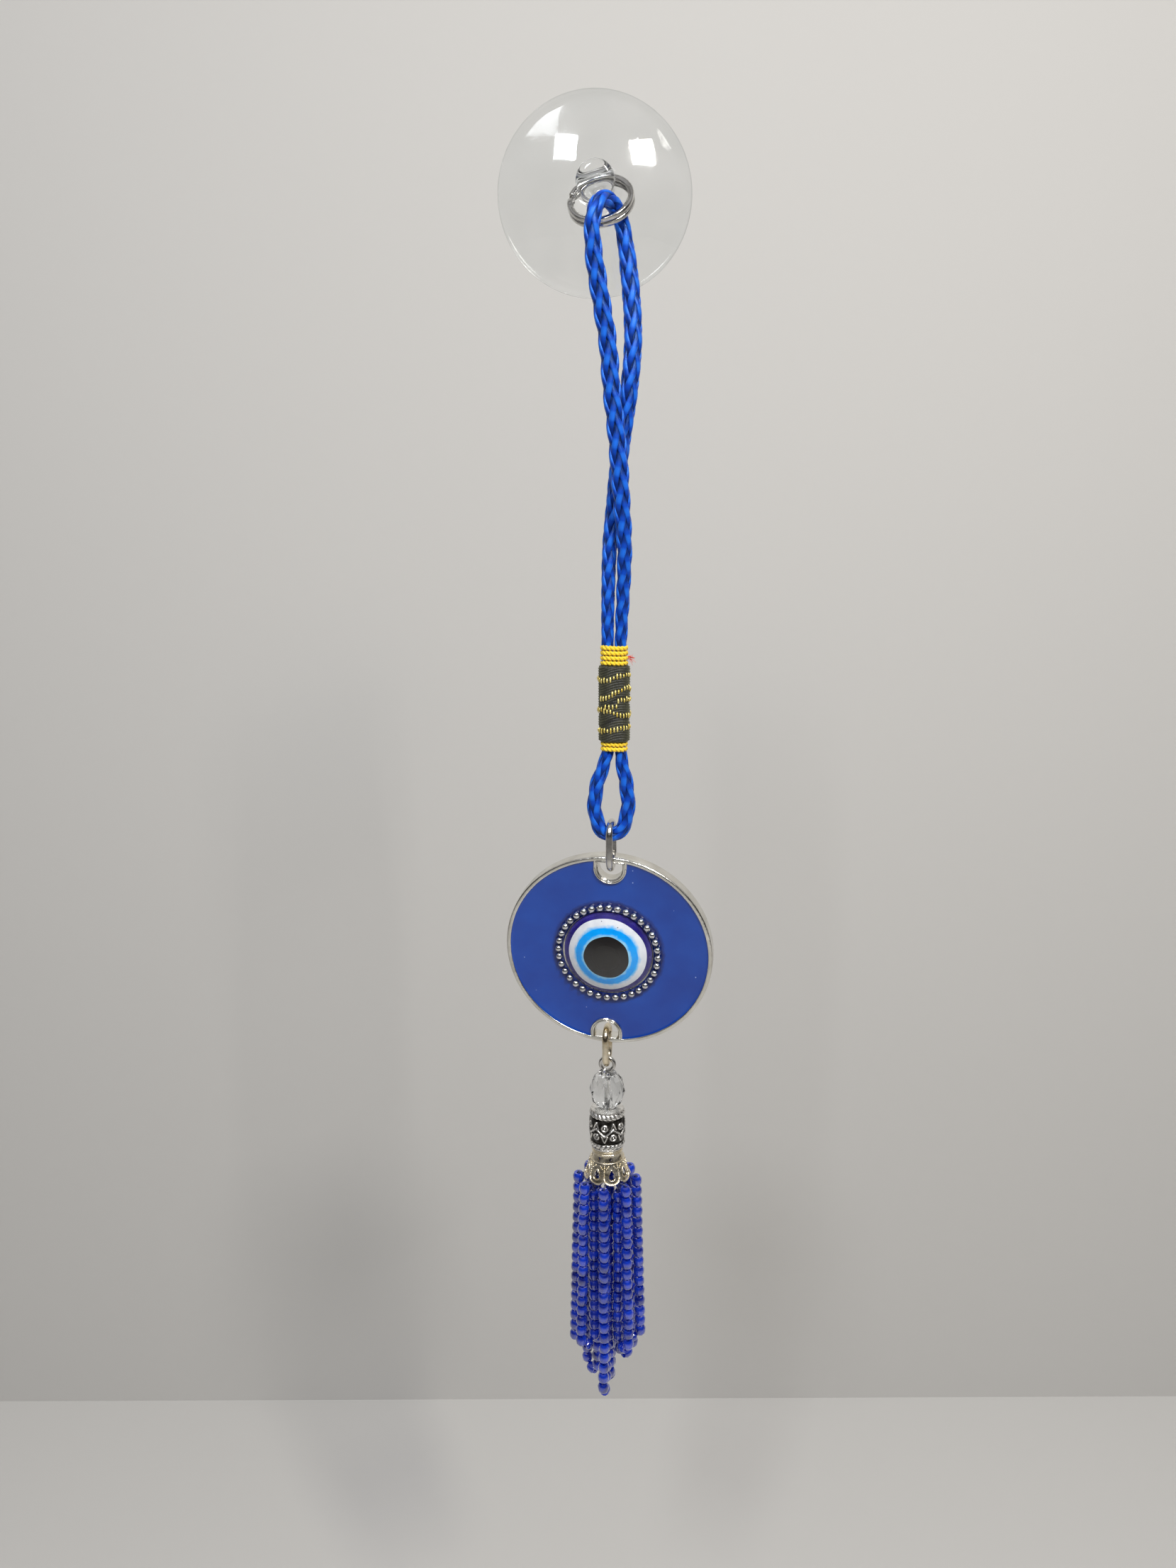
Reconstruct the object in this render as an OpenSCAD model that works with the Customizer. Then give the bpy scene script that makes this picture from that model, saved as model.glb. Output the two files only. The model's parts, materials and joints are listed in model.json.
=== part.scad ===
// Hanging evil eye ornament: a clear suction cup, a split ring, a braided cord loop with a thread
// binding, two jump rings, an enamelled eye pendant, and an eye pin with three beads and a beaded tassel.
// Millimetres. The origin is the centre of the cup's lip, on the wall plane. +Y goes into the wall,
// +Z is up, and the ornament hangs towards -Z in front of the wall.

/* [Suction cup] */
// Diameter of the cup's lip
cup_d = 35; // [30:0.5:45]
// Height of the dome above the lip
cup_rise = 3.6; // [3:0.1:5]
// Thickness of the cup's wall at its centre
cup_wall = 2.0; // [1.6:0.1:3]
// Width of the flat lip that seals on the wall
lip_w = 1.3; // [1:0.1:2]
// Thickness of the lip's edge
lip_t = 0.5; // [0.4:0.05:0.8]
// Diameter of the knob
knob_d = 6.8; // [6:0.1:9]
// Distance from the wall plane to the knob's tip
knob_reach = 11.6; // [11:0.1:14]
// Diameter of the cross hole in the knob
knob_hole_d = 3.9; // [3.6:0.1:4.4]
// Distance from the wall plane to the cross hole
knob_hole_reach = 7.2; // [7:0.1:8]
// How far the cup is turned on the wall
cup_turn = 16; // [0:1:30]

/* [Split ring] */
// Outside diameter of the split ring
ring_d = 11.7; // [11:0.1:14]
// Radial thickness of its flat wire
ring_wire = 1.0; // [0.8:0.05:1.1]
// Width of one coil along the ring's axis
ring_coil_w = 0.88; // [0.7:0.02:0.95]
// Gap between the two coils
ring_coil_gap = 0.12; // [0.08:0.01:0.2]
// How far the ring swings out from the wall at rest
ring_swing = 40; // [30:1:60]

/* [Cord] */
// Diameter of the loose cord
cord_d = 2.9; // [2.4:0.1:3]
// Diameter where the binding squeezes the cord
cord_bound_d = 2.36; // [2:0.02:2.4]

/* [Binding] */
// Width of the brocade sleeve
sleeve_w = 6.0; // [5.8:0.1:8]
// Depth of the brocade sleeve
sleeve_depth = 4.6; // [4:0.1:6]
// Height of the brocade sleeve
sleeve_h = 14.1; // [10:0.1:15]
// Width of the upper yellow wrap
wrap_top_w = 5.2; // [5.15:0.05:6]
// Turns of thread in the upper yellow wrap
wrap_top_turns = 4; // [3:1:5]
// Width of the lower yellow wrap
wrap_low_w = 5.15; // [5.15:0.05:6]
// Turns of thread in the lower yellow wrap
wrap_low_turns = 2; // [1:1:2]
// Thickness of the yellow thread
wrap_thread = 0.92; // [0.6:0.02:1]

/* [Jump rings] */
// Wire of the upper jump ring
link_top_wire = 1.3; // [1.1:0.05:1.4]
// Outside height of the upper jump ring
link_top_h = 10.2; // [9.8:0.1:13]
// Wire of the lower jump ring
link_low_wire = 1.25; // [1:0.05:1.4]
// Outside height of the lower jump ring
link_low_h = 9.0; // [8.6:0.1:12]
// Clear width inside both jump rings, across the pendant's rim
link_inside = 3.6; // [3.5:0.05:4.5]

/* [Pendant] */
// Diameter of the pendant
pendant_d = 40.6; // [38:0.2:56]
// Thickness of the casting at its rim
pendant_t = 2.9; // [2.3:0.1:2.95]
// Width of the polished rim
rim_w = 0.85; // [0.7:0.05:1.1]
// Depth of the tray that holds the enamel
tray_depth = 1.1; // [0.8:0.05:1.3]
// How far the enamel stays below the rim
enamel_sink = 0.25; // [0.1:0.05:0.4]
// Width of each D-shaped hanging hole
hole_w = 4.8; // [4.2:0.1:5.2]
// Depth of each hanging hole, towards the middle
hole_h = 3.6; // [3.4:0.1:4.4]
// Thickness of the rim bar outside each hole
bar_t = 1.1; // [0.8:0.05:1.3]
// Width of the raised border round each hole
hole_border = 0.8; // [0.6:0.05:1.2]
// Depth of the recess in the back
back_recess = 0.5; // [0.3:0.05:0.6]

/* [Eye] */
// Diameter of the eye cabochon
eye_d = 17.76; // [16:0.1:18]
// Height of its dome above the rim's plane
eye_rise = 2.6; // [2:0.1:4]
// Thickness of the clear coat
coat_t = 0.35; // [0.2:0.05:0.5]
// Diameter of the white layer
white_d = 15.2; // [13:0.1:15.4]
// Diameter of the deep blue iris layer
iris_d = 12.0; // [11:0.1:12.8]
// Diameter of the pale iris layer
pale_d = 10.4; // [9.6:0.1:10.9]
// Diameter of the pupil
pupil_d = 8.8; // [7:0.1:9.4]
// Number of balls round the eye
ball_count = 36; // [24:1:40]
// Diameter of one ball
ball_d = 1.28; // [1:0.02:1.5]
// Diameter of the circle that the balls stand on
ball_circle_d = 19.6; // [19.4:0.1:21]

/* [Eye pin and beads] */
// Wire of the eye pin
pin_wire = 0.8; // [0.7:0.05:0.9]
// Outside diameter of the eye pin's loops
pin_loop_d = 3.6; // [3.4:0.1:4]
// Diameter of the clear bead
crystal_d = 7.2; // [6:0.1:9]
// Height of the clear bead
crystal_h = 7.4; // [6:0.1:9]
// Largest diameter of the barrel bead
barrel_d = 7.4; // [6.8:0.1:9]
// Height of the barrel bead
barrel_h = 8.5; // [7:0.1:11]
// Height of the filigree cone
cone_h = 6.6; // [6:0.1:7.4]
// Diameter of the cone at its top
cone_top_d = 5.9; // [5:0.1:7]
// Diameter of the cone at its mouth
cone_mouth_d = 9.4; // [8.8:0.1:9.6]
// Thickness of the cone's wall
cone_wall = 0.5; // [0.35:0.05:0.6]
// Number of petals round the cone's mouth
petals = 8; // [6:1:9]

/* [Tassel] */
// Diameter of one seed bead
seed_d = 2.4; // [1.8:0.05:2.45]
// Length of one seed bead
seed_len = 2.1; // [1.5:0.05:2.2]
// Bore of one seed bead
seed_bore = 0.8; // [0.6:0.05:1]
// Distance from bead to bead along the thread
seed_pitch = 2.33; // [2.2:0.01:3]
// Diameter of the thread
thread_d = 0.36; // [0.25:0.01:0.5]
// Distance from the tassel's axis to the outer legs at the top
leg_out_top = 6.0; // [5.8:0.1:7]
// Distance from the tassel's axis to the outer legs at the bottom
leg_out_low = 7.0; // [6.8:0.1:8]
// Distance from the tassel's axis to the inner legs
leg_in = 3.55; // [3.5:0.05:4]

/* [Hidden] */

// ---- clearances ----
gap_rest = 0.1;      // between a link and what it carries
gap_bend = 0.25;     // between the upper jump ring and the cord, which bends up on both sides of it
gap_stack = 0.1;     // between beads stacked on the pin
gap_run = 0.06;      // radial, between the pin and a bead's bore
gap_soft = 0.06;     // between the cord and what is wound round it
round_fn = 64;       // facets of a small circle in the drawn preview

// ---- the cord's route: one length, from inside the binding up round the ring and down again,
// through the binding and round the lower loop, and back into the binding ----
cord_route = [
    [2.0, -14.6, -90.0], [2.0, -14.6, -86], [2.0, -14.6, -80], [2.0, -14.5, -76], [2.1, -14.2, -70],
    [2.4, -13.5, -62], [3.4, -13.0, -53], [4.0, -12.9, -47.5], [4.9, -12.9, -41], [5.8, -12.9, -35],
    [6.5, -12.4, -27], [6.3, -11.4, -20], [5.6, -10.5, -13], [5.0, -10.1, -9], [4.3, -10.3, -6.2],
    [3.2, -11.3, -4.4], [2.0, -13.0, -3.8], [0.7, -14.8, -4.5], [-0.3, -15.9, -6.5], [-0.6, -16.2, -9.5],
    [-0.2, -16.1, -14], [0.8, -15.9, -20], [2.0, -15.7, -27], [2.7, -15.8, -35], [3.4, -15.9, -41],
    [4.0, -16.0, -47.5], [4.4, -16.0, -53], [5.0, -15.5, -62], [4.8, -14.9, -70], [4.5, -14.7, -76],
    [4.4, -14.6, -80], [4.4, -14.6, -86], [4.4, -14.6, -92], [4.4, -14.6, -99], [4.7, -14.6, -101.5],
    [5.4, -14.8, -105], [5.8, -15, -109], [5.2, -15, -112.7], [4.2, -15, -114.4], [2.65, -15, -114.9],
    [1.1, -15, -114.4], [0.1, -15, -112.7], [-0.5, -15, -109], [0.1, -14.8, -105], [1.3, -14.6, -101.5],
    [2.0, -14.6, -99], [2.0, -14.6, -94], [2.0, -14.6, -90.6]];
bind_x = 3.2;         // the middle of the binding
bind_y = -14.6;
bind_top_z = -79.3;   // top of the upper yellow wrap
squeeze_from = -60;   // above this height the upper strands have their full diameter
squeeze_below = -105; // below this height the lower loop has its full diameter
strand_gap = 2.4;     // between the middles of the two strands inside the binding

// ---- places that follow from the sizes ----
cup_r = cup_d / 2;
knob_r = knob_d / 2;
ring_r = (ring_d - ring_wire) / 2;              // middle of the ring's wire
ring_w = 2 * ring_coil_w + ring_coil_gap;
ring_lift = 0.75;                               // the ring's wire stands this far above the hole's axis
wrap_top_h = wrap_top_turns * wrap_thread;
wrap_low_h = wrap_low_turns * wrap_thread;
sleeve_top_z = bind_top_z - wrap_top_h;
sleeve_low_z = sleeve_top_z - sleeve_h;
cavity_w = strand_gap + 0.2 + cord_bound_d + 2 * gap_soft;  // the space for the strands in the binding
cavity_d = cord_bound_d + 2 * gap_soft;
wrap_depth = sleeve_depth - 0.8;

chain_yaw = -10.5;     // how far the chain below the cord is turned about the vertical at rest
pendant_pitch = 8;     // how far the pendant leans back at its foot
pendant_roll = 2.5;    // how far it hangs to one side
link_top_r = link_inside / 2 + link_top_wire;   // outside radius of the upper jump ring's ends
link_low_r = link_inside / 2 + link_low_wire;
cord_low = cord_route[39];                      // the lowest point of the lower loop
link_top_c = [cord_low[0], cord_low[1],
              cord_low[2] + cord_d / 2 + gap_bend + link_top_wire - link_top_r];
hinge_top = link_top_c - [0, 0, link_top_h - 2 * link_top_r];

bar_mid = pendant_d / 2 - bar_t / 2;            // from the pendant's middle to the middle of a rim bar
bar_drop = sqrt(pow(link_inside / 2, 2) - pow(pendant_t / 2, 2)) - bar_t / 2 - gap_rest;
pendant_drop = bar_drop + bar_mid;              // from the top hinge to the pendant's middle
hinge_low = hinge_top + turned([0, 0, -2 * pendant_drop]);

link_low_low = hinge_low - [0, 0, link_low_h - 2 * link_low_r];
pin_loop_r = (pin_loop_d - pin_wire) / 2;       // middle of the pin's wire in its loop
link_wire_low = link_low_low - [0, 0, link_low_r - link_low_wire / 2];
pin_top = link_wire_low + [0, 0, link_low_wire / 2 + gap_rest / 2 - (pin_loop_d / 2 - pin_wire)];
stack_top = -pin_loop_d / 2 - gap_stack;        // from here down, measured from the pin's loop
crystal_low = stack_top - crystal_h;
barrel_top = crystal_low - gap_stack;
barrel_low = barrel_top - barrel_h;
cone_top = barrel_low - gap_stack;
cone_low = cone_top - cone_h;
pin_bore = pin_wire / 2 + gap_run;
pin_end = cone_top - cone_wall - 2.0;           // middle of the pin's lower loop, inside the cone

// ---- tassel ----
// angle round the axis, from the front towards the right, and the number of beads in each leg
loops = [[-42, 16], [3, 20], [48, 16], [93, 16], [138, 19], [183, 22], [228, 21], [273, 17]];
knot_r = 0.9;
knot_z = pin_end - 1.1;
leg_pivot = [4.0, cone_low - 0.35];             // radius and height where a loop's two threads part
first_out = cone_low - 1.05;                    // middle of the first bead of an outer leg
first_in = cone_low - 1.75;
turn_r = (leg_out_low - leg_in) / 2;             // radius of a loop's lower turn

// ---- disc frame ----
tray_z = pendant_t / 2 - tray_depth;
enamel_top = pendant_t / 2 - enamel_sink;
tray_r = pendant_d / 2 - rim_w;
eye_z = pendant_t / 2 + 0.05;                   // the dome starts just above the rim
dome_r = (pow(eye_d / 2, 2) + pow(eye_rise, 2)) / (2 * eye_rise);
dome_c = eye_z + eye_rise - dome_r;
layer_r = dome_r - coat_t;
bezel_w = ball_d * 0.9;

function turn_x(v, a) = [v[0], v[1] * cos(a) - v[2] * sin(a), v[1] * sin(a) + v[2] * cos(a)];
function turn_y(v, a) = [v[0] * cos(a) + v[2] * sin(a), v[1], -v[0] * sin(a) + v[2] * cos(a)];
function turn_z(v, a) = [v[0] * cos(a) - v[1] * sin(a), v[0] * sin(a) + v[1] * cos(a), v[2]];
function turned(v) = turn_z(turn_y(turn_x(v, pendant_pitch), pendant_roll), chain_yaw);
function layer_height(d) = dome_c + sqrt(pow(layer_r, 2) - pow(d / 2, 2));

// ---- shared shapes ----
module facing() rotate([90, 0, 0]) children();   // +Z of the shape turns towards the viewer

module stadium(width, depth) {
    run = width - depth;
    union() {
        square([run, depth], center = true);
        translate([-run / 2, 0]) circle(d = depth, $fn = round_fn);
        translate([run / 2, 0]) circle(d = depth, $fn = round_fn);
    }
}

module rod(a, b, r) {
    v = b - a;
    len = norm(v);
    tilt = atan2(norm([v[0], v[1]]), v[2]);
    azimuth = atan2(v[1], v[0]);
    translate(a) rotate([0, tilt, azimuth]) cylinder(r = r, h = len, $fn = 24);
}

// an oval link in the YZ plane: its upper end's middle is at the origin
module oval_link(height, wire, outer_r) {
    mid = outer_r - wire / 2;
    run = height - 2 * outer_r;
    union() {
        rotate([0, 90, 0]) rotate([0, 0, 90]) rotate_extrude(angle = 180, $fn = round_fn)
            translate([mid, 0]) circle(d = wire, $fn = 32);
        translate([0, 0, -run]) rotate([0, 90, 0]) rotate([0, 0, -90])
            rotate_extrude(angle = 180, $fn = round_fn) translate([mid, 0]) circle(d = wire, $fn = 32);
        for (side = [-1, 1]) translate([0, side * mid, -run]) cylinder(d = wire, h = run, $fn = 32);
    }
}

// ---- cup and ring ----
module suction_cup() {
    dome = (pow(cup_r, 2) + pow(cup_rise, 2)) / (2 * cup_rise);
    hollow_rise = cup_rise + lip_t - cup_wall;
    hollow_r = cup_r - lip_w;
    hollow = (pow(hollow_r, 2) + pow(hollow_rise, 2)) / (2 * hollow_rise);
    color([0.85, 0.88, 0.88, 0.5]) rotate([0, -cup_turn, 0]) facing() difference() {
        union() {
            cylinder(r = cup_r, h = lip_t, $fn = 96);
            translate([0, 0, lip_t]) intersection() {
                translate([0, 0, cup_rise - dome]) sphere(r = dome, $fn = 128);
                cylinder(r = cup_r, h = cup_rise + 1, $fn = 96);
            }
            rotate_extrude($fn = 64) polygon([
                [0, 2.5], [knob_r + 1.6, 2.5], [knob_r + 1.2, cup_rise + 0.55],
                [knob_r + 0.35, cup_rise + 1.0],
                [knob_r, cup_rise + 1.7], [knob_r, knob_reach - 1.5], [knob_r - 0.4, knob_reach - 0.6],
                [knob_r - 1.3, knob_reach], [0, knob_reach]]);
        }
        intersection() {
            translate([0, 0, hollow_rise - hollow]) sphere(r = hollow, $fn = 128);
            translate([0, 0, -0.5]) cylinder(r = hollow_r, h = hollow_rise + 1, $fn = 96);
        }
        translate([0, 0, knob_hole_reach]) rotate([0, 90, 0])
            cylinder(d = knob_hole_d, h = knob_d + 4, center = true, $fn = 48);
    }
}

module split_ring() {
    color("silver") rotate([0, -cup_turn, 0]) translate([0, -knob_hole_reach, 0]) rotate([-ring_swing, 0, 0])
        translate([0, 0, ring_lift - ring_r]) rotate([90, 0, 0]) union() {
            for (side = [-1, 1]) translate([0, 0, side * (ring_coil_w + ring_coil_gap) / 2])
                rotate_extrude($fn = 96) translate([ring_r, 0])
                    square([ring_wire, ring_coil_w], center = true);
            // the cranked step that joins one coil to the other
            rotate([0, 0, 150]) rotate_extrude(angle = 24, $fn = 96) translate([ring_r, 0])
                square([ring_wire - 0.2, ring_coil_gap + 0.2], center = true);
        }
}

// ---- cord ----
// its radius at a height: full when loose, less in the binding, and easing from one to the other
bind_low_z = sleeve_low_z - wrap_low_h;
function loose_share(z) =
    z > bind_top_z ? min(1, (z - bind_top_z) / (squeeze_from - bind_top_z)) :
    z > bind_low_z ? 0 :
    min(1, (bind_low_z - z) / (bind_low_z - squeeze_below));
function cord_radius(z) = (cord_bound_d + (cord_d - cord_bound_d) * loose_share(z)) / 2;
function unit(v) = v / norm(v);
function heading(p, i) = unit(p[min(i + 1, len(p) - 1)] - p[max(i - 1, 0)]);
// a side direction that stays square to the cord and turns with it, carried on from the last ring
function sides(p, i = 0, last = [0, 1, 0], out = []) =
    i == len(p) ? out :
    let (t = heading(p, i), s = unit(last - (last * t) * t)) sides(p, i + 1, s, concat(out, [s]));

module swept_cord(p) {
    n = 8;
    s = sides(p);
    points = [for (i = [0:len(p) - 1]) let (u = s[i], v = cross(heading(p, i), u), r = cord_radius(p[i][2]))
              for (k = [0:n - 1]) p[i] + r * (cos(360 * k / n) * u + sin(360 * k / n) * v)];
    skin = [for (i = [0:len(p) - 2]) for (k = [0:n - 1]) let (a = i * n, b = (k + 1) % n)
            each [[a + k, a + n + k, a + b], [a + n + k, a + n + b, a + b]]];
    first = [for (k = [0:n - 1]) k];
    last = [for (k = [n - 1:-1:0]) (len(p) - 1) * n + k];
    polyhedron(points, concat(skin, [first, last]), convexity = 12);
}

module braided_cord() {
    color("royalblue") swept_cord(cord_route);
}

// ---- binding ----
module wound(width, depth, turns, low_z) {
    translate([bind_x, bind_y, low_z]) difference() {
        for (k = [0:turns - 1]) translate([0, 0, k * wrap_thread]) {
            translate([0, 0, 0.12]) linear_extrude(wrap_thread - 0.24) stadium(width, depth);
            linear_extrude(wrap_thread) stadium(width - 0.22, depth - 0.22);
        }
        translate([0, 0, -1]) linear_extrude(turns * wrap_thread + 2) stadium(cavity_w, cavity_d);
    }
}

module yellow_wrap_top() {
    color("gold") wound(wrap_top_w, wrap_depth, wrap_top_turns, sleeve_top_z);
}

module yellow_wrap_bottom() {
    color("gold") wound(wrap_low_w, wrap_depth, wrap_low_turns, sleeve_low_z - wrap_low_h);
}

module brocade_sleeve() {
    color([0.2, 0.2, 0.12]) translate([bind_x, bind_y, sleeve_low_z]) difference() {
        linear_extrude(sleeve_h) stadium(sleeve_w, sleeve_depth);
        translate([0, 0, -1]) linear_extrude(sleeve_h + 2) stadium(cavity_w, cavity_d);
    }
}

module red_thread_tail() {
    root = [bind_x + wrap_top_w / 2 + 0.14, bind_y, sleeve_top_z + 1.6];
    color("red") union() {
        rod(root, root + [1.0, -0.3, 0.6], 0.13);
        rod(root, root + [1.3, -0.5, -0.3], 0.13);
        rod(root, root + [0.7, 0.2, -0.9], 0.13);
        translate(root) sphere(r = 0.14, $fn = 24);
    }
}

// ---- links ----
module upper_jump_ring() {
    color("silver") translate(link_top_c) rotate([0, 0, chain_yaw])
        oval_link(link_top_h, link_top_wire, link_top_r);
}

module lower_jump_ring() {
    color("silver") translate(hinge_low) rotate([0, 0, chain_yaw])
        oval_link(link_low_h, link_low_wire, link_low_r);
}

// ---- pendant ----
module pendant_frame() {
    translate(hinge_top) rotate([pendant_pitch, pendant_roll, chain_yaw])
        translate([0, 0, -pendant_drop]) facing() children();
}

module notch(width, depth) {
    middle = pendant_d / 2 - bar_t - depth + width / 2;
    for (side = [0, 180]) rotate(side) union() {
        translate([0, middle]) circle(d = width, $fn = 48);
        translate([-width / 2, middle]) square([width, pendant_d / 2 - bar_t - middle]);
    }
}

module notch_boss() {
    width = hole_w + 2 * hole_border;
    middle = pendant_d / 2 - bar_t - hole_h + hole_w / 2;
    for (side = [0, 180]) rotate(side) union() {
        translate([0, middle]) circle(d = width, $fn = 48);
        translate([-width / 2, middle]) square([width, pendant_d / 2 - middle + 1]);
    }
}

module pendant_casting() {
    edge = 0.35;
    half = pendant_t / 2;
    r = pendant_d / 2;
    color("silver") pendant_frame() difference() {
        rotate_extrude($fn = 128) polygon([[0, -half], [r - edge, -half], [r, -half + edge],
                                           [r, half - edge], [r - edge, half], [0, half]]);
        translate([0, 0, tray_z]) difference() {
            cylinder(r = tray_r, h = pendant_t, $fn = 128);
            translate([0, 0, -1]) linear_extrude(pendant_t + 2) notch_boss();
        }
        translate([0, 0, -half - 1]) difference() {
            cylinder(r = tray_r - 0.6, h = back_recess + 1, $fn = 128);
            translate([0, 0, -1]) linear_extrude(pendant_t + 2) notch_boss();
        }
        translate([0, 0, -pendant_t]) linear_extrude(2 * pendant_t) notch(hole_w, hole_h);
    }
}

module enamel_fill() {
    color([0.12, 0.3, 0.65]) pendant_frame() difference() {
        translate([0, 0, tray_z]) cylinder(r = tray_r, h = enamel_top - tray_z, $fn = 128);
        translate([0, 0, tray_z - 1]) linear_extrude(pendant_t + 2) notch_boss();
        translate([0, 0, tray_z - 1]) cylinder(d = ball_circle_d + bezel_w, h = pendant_t + 2, $fn = 96);
    }
}

module beaded_bezel() {
    color("silver") pendant_frame() union() {
        translate([0, 0, tray_z]) difference() {
            cylinder(d = ball_circle_d + bezel_w, h = enamel_top - tray_z - 0.1, $fn = 96);
            translate([0, 0, -1]) cylinder(d = eye_d, h = pendant_t, $fn = 96);
        }
        for (k = [0:ball_count - 1]) rotate(360 * k / ball_count)
            translate([ball_circle_d / 2, 0, enamel_top + 0.15]) sphere(d = ball_d, $fn = 24);
    }
}

module eye_slice(low, high) {
    intersection() {
        translate([0, 0, dome_c]) sphere(r = layer_r, $fn = 200);
        translate([0, 0, low]) cylinder(d = eye_d, h = high - low, $fn = 96);
    }
}

module eye_base() {
    color([0.1, 0.08, 0.45]) pendant_frame() union() {
        translate([0, 0, tray_z]) cylinder(d = eye_d, h = eye_z - tray_z, $fn = 96);
        eye_slice(eye_z - 0.2, layer_height(white_d));
    }
}

module eye_white() {
    color("white") pendant_frame() eye_slice(layer_height(white_d), layer_height(iris_d));
}

module iris_deep() {
    color([0.1, 0.55, 0.9]) pendant_frame() eye_slice(layer_height(iris_d), layer_height(pale_d));
}

module iris_pale() {
    color([0.5, 0.8, 0.95]) pendant_frame() eye_slice(layer_height(pale_d), layer_height(pupil_d));
}

module eye_pupil() {
    color([0.05, 0.05, 0.05]) pendant_frame() eye_slice(layer_height(pupil_d), eye_z + eye_rise + 1);
}

module eye_coat() {
    color([0.9, 0.95, 1, 0.3]) pendant_frame() difference() {
        intersection() {
            translate([0, 0, dome_c]) sphere(r = dome_r, $fn = 128);
            translate([0, 0, eye_z]) cylinder(d = eye_d, h = eye_rise + 1, $fn = 96);
        }
        translate([0, 0, dome_c]) sphere(r = layer_r, $fn = 128);
    }
}

// ---- eye pin and its beads ----
module pin_frame() {
    translate(pin_top) rotate([0, 0, chain_yaw]) children();
}

module pin_loop() {
    rotate([90, 0, 0]) rotate_extrude($fn = 64) translate([pin_loop_r, 0]) circle(d = pin_wire, $fn = 32);
}

module eye_pin() {
    low_loop_r = 1.1;
    color("silver") pin_frame() union() {
        pin_loop();
        translate([0, 0, pin_end + low_loop_r])
            cylinder(d = pin_wire, h = -pin_loop_r - pin_end - low_loop_r, $fn = 32);
        translate([0, 0, pin_end]) rotate([90, 0, 0]) rotate_extrude($fn = 64)
            translate([low_loop_r, 0]) circle(d = pin_wire, $fn = 32);
    }
}

module clear_bead() {
    facets = 8;
    side = crystal_d / 2;
    color([0.9, 0.95, 0.95, 0.5]) pin_frame() translate([0, 0, crystal_low]) difference() {
        intersection() {
            cylinder(r = side / cos(180 / facets), h = crystal_h, $fn = facets);
            rotate([0, 0, 180 / facets]) translate([0, 0, crystal_h / 2])
                sphere(d = crystal_d * 1.12, $fn = 64);
        }
        translate([0, 0, -1]) cylinder(r = pin_bore, h = crystal_h + 2, $fn = 32);
    }
}

module barrel_bead() {
    end_r = barrel_d / 2 - 0.45;
    r = barrel_d / 2;
    band = 1.3;
    color("silver") pin_frame() translate([0, 0, barrel_low]) difference() {
        rotate_extrude($fn = 64) polygon([[0, 0], [end_r - 0.3, 0], [end_r, 0.3], [end_r, band - 0.3],
            [end_r - 0.2, band], [r - 0.2, barrel_h * 0.3], [r, barrel_h * 0.5], [r - 0.2, barrel_h * 0.72],
            [end_r, barrel_h - band], [end_r + 0.15, barrel_h - band + 0.2], [end_r + 0.15, barrel_h - 0.3],
            [end_r - 0.3, barrel_h], [0, barrel_h]]);
        translate([0, 0, -1]) cylinder(r = pin_bore, h = barrel_h + 2, $fn = 32);
    }
}

module cone_cap() {
    top_r = cone_top_d / 2;
    mouth_r = cone_mouth_d / 2;
    scallop_r = 0.7;
    petal_hole_r = 0.55;
    color([0.85, 0.78, 0.6]) pin_frame() difference() {
        translate([0, 0, cone_low]) rotate_extrude($fn = 64) polygon([
            [0, cone_h], [top_r, cone_h], [top_r + 0.1, cone_h * 0.8], [mouth_r - 0.55, cone_h * 0.25],
            [mouth_r, 0], [mouth_r - cone_wall, 0], [mouth_r - 0.55 - cone_wall, cone_h * 0.25],
            [top_r + 0.1 - cone_wall, cone_h * 0.8], [top_r - cone_wall, cone_h - cone_wall],
            [0, cone_h - cone_wall]]);
        translate([0, 0, cone_low - 1]) cylinder(r = pin_bore, h = cone_h + 2, $fn = 32);
        // scalloped edge: a round bite between each two petals
        for (k = [0:petals - 1]) rotate([0, 0, (k + 0.5) * 360 / petals])
            translate([mouth_r, 0, cone_low]) rotate([0, 90, 0])
                cylinder(r = scallop_r, h = 4, center = true, $fn = 24);
        // one tear-drop hole in each petal
        for (k = [0:petals - 1]) rotate([0, 0, k * 360 / petals])
            translate([mouth_r - 0.5, 0, cone_low + 1.9]) rotate([0, 90, 0])
                cylinder(r = petal_hole_r, h = 3, center = true, $fn = 24);
    }
}

// ---- tassel ----
// a place on a loop: radius from the axis and height, turned to the loop's angle
function on_loop(k, rz) = [sin(loops[k][0]) * rz[0], -cos(loops[k][0]) * rz[0], rz[1]];
function leg_low(k) = first_out - (loops[k][1] - 1) * seed_pitch;   // middle of a leg's last bead
function leg_out(k, z) =
    leg_out_top + (leg_out_low - leg_out_top) * (first_out - z) / (first_out - leg_low(k));
function turn_mid(k) = [(leg_out_low + leg_in) / 2, leg_low(k) - 0.15]; // middle of a loop's lower turn

module tassel_threads() {
    color([0.1, 0.1, 0.4]) pin_frame() union() {
        translate([0, 0, knot_z]) sphere(r = knot_r, $fn = 48);
        for (k = [0:len(loops) - 1])
            rod([0, 0, knot_z], on_loop(k, leg_pivot + [-0.35, 0.25]), thread_d / 2);
    }
}

module seed_bead() {
    difference() {
        intersection() {
            sphere(d = seed_d, $fn = 32);
            cube([seed_d + 1, seed_d + 1, seed_len], center = true);
        }
        cylinder(d = seed_bore, h = seed_d + 1, center = true, $fn = 24);
    }
}

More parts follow.
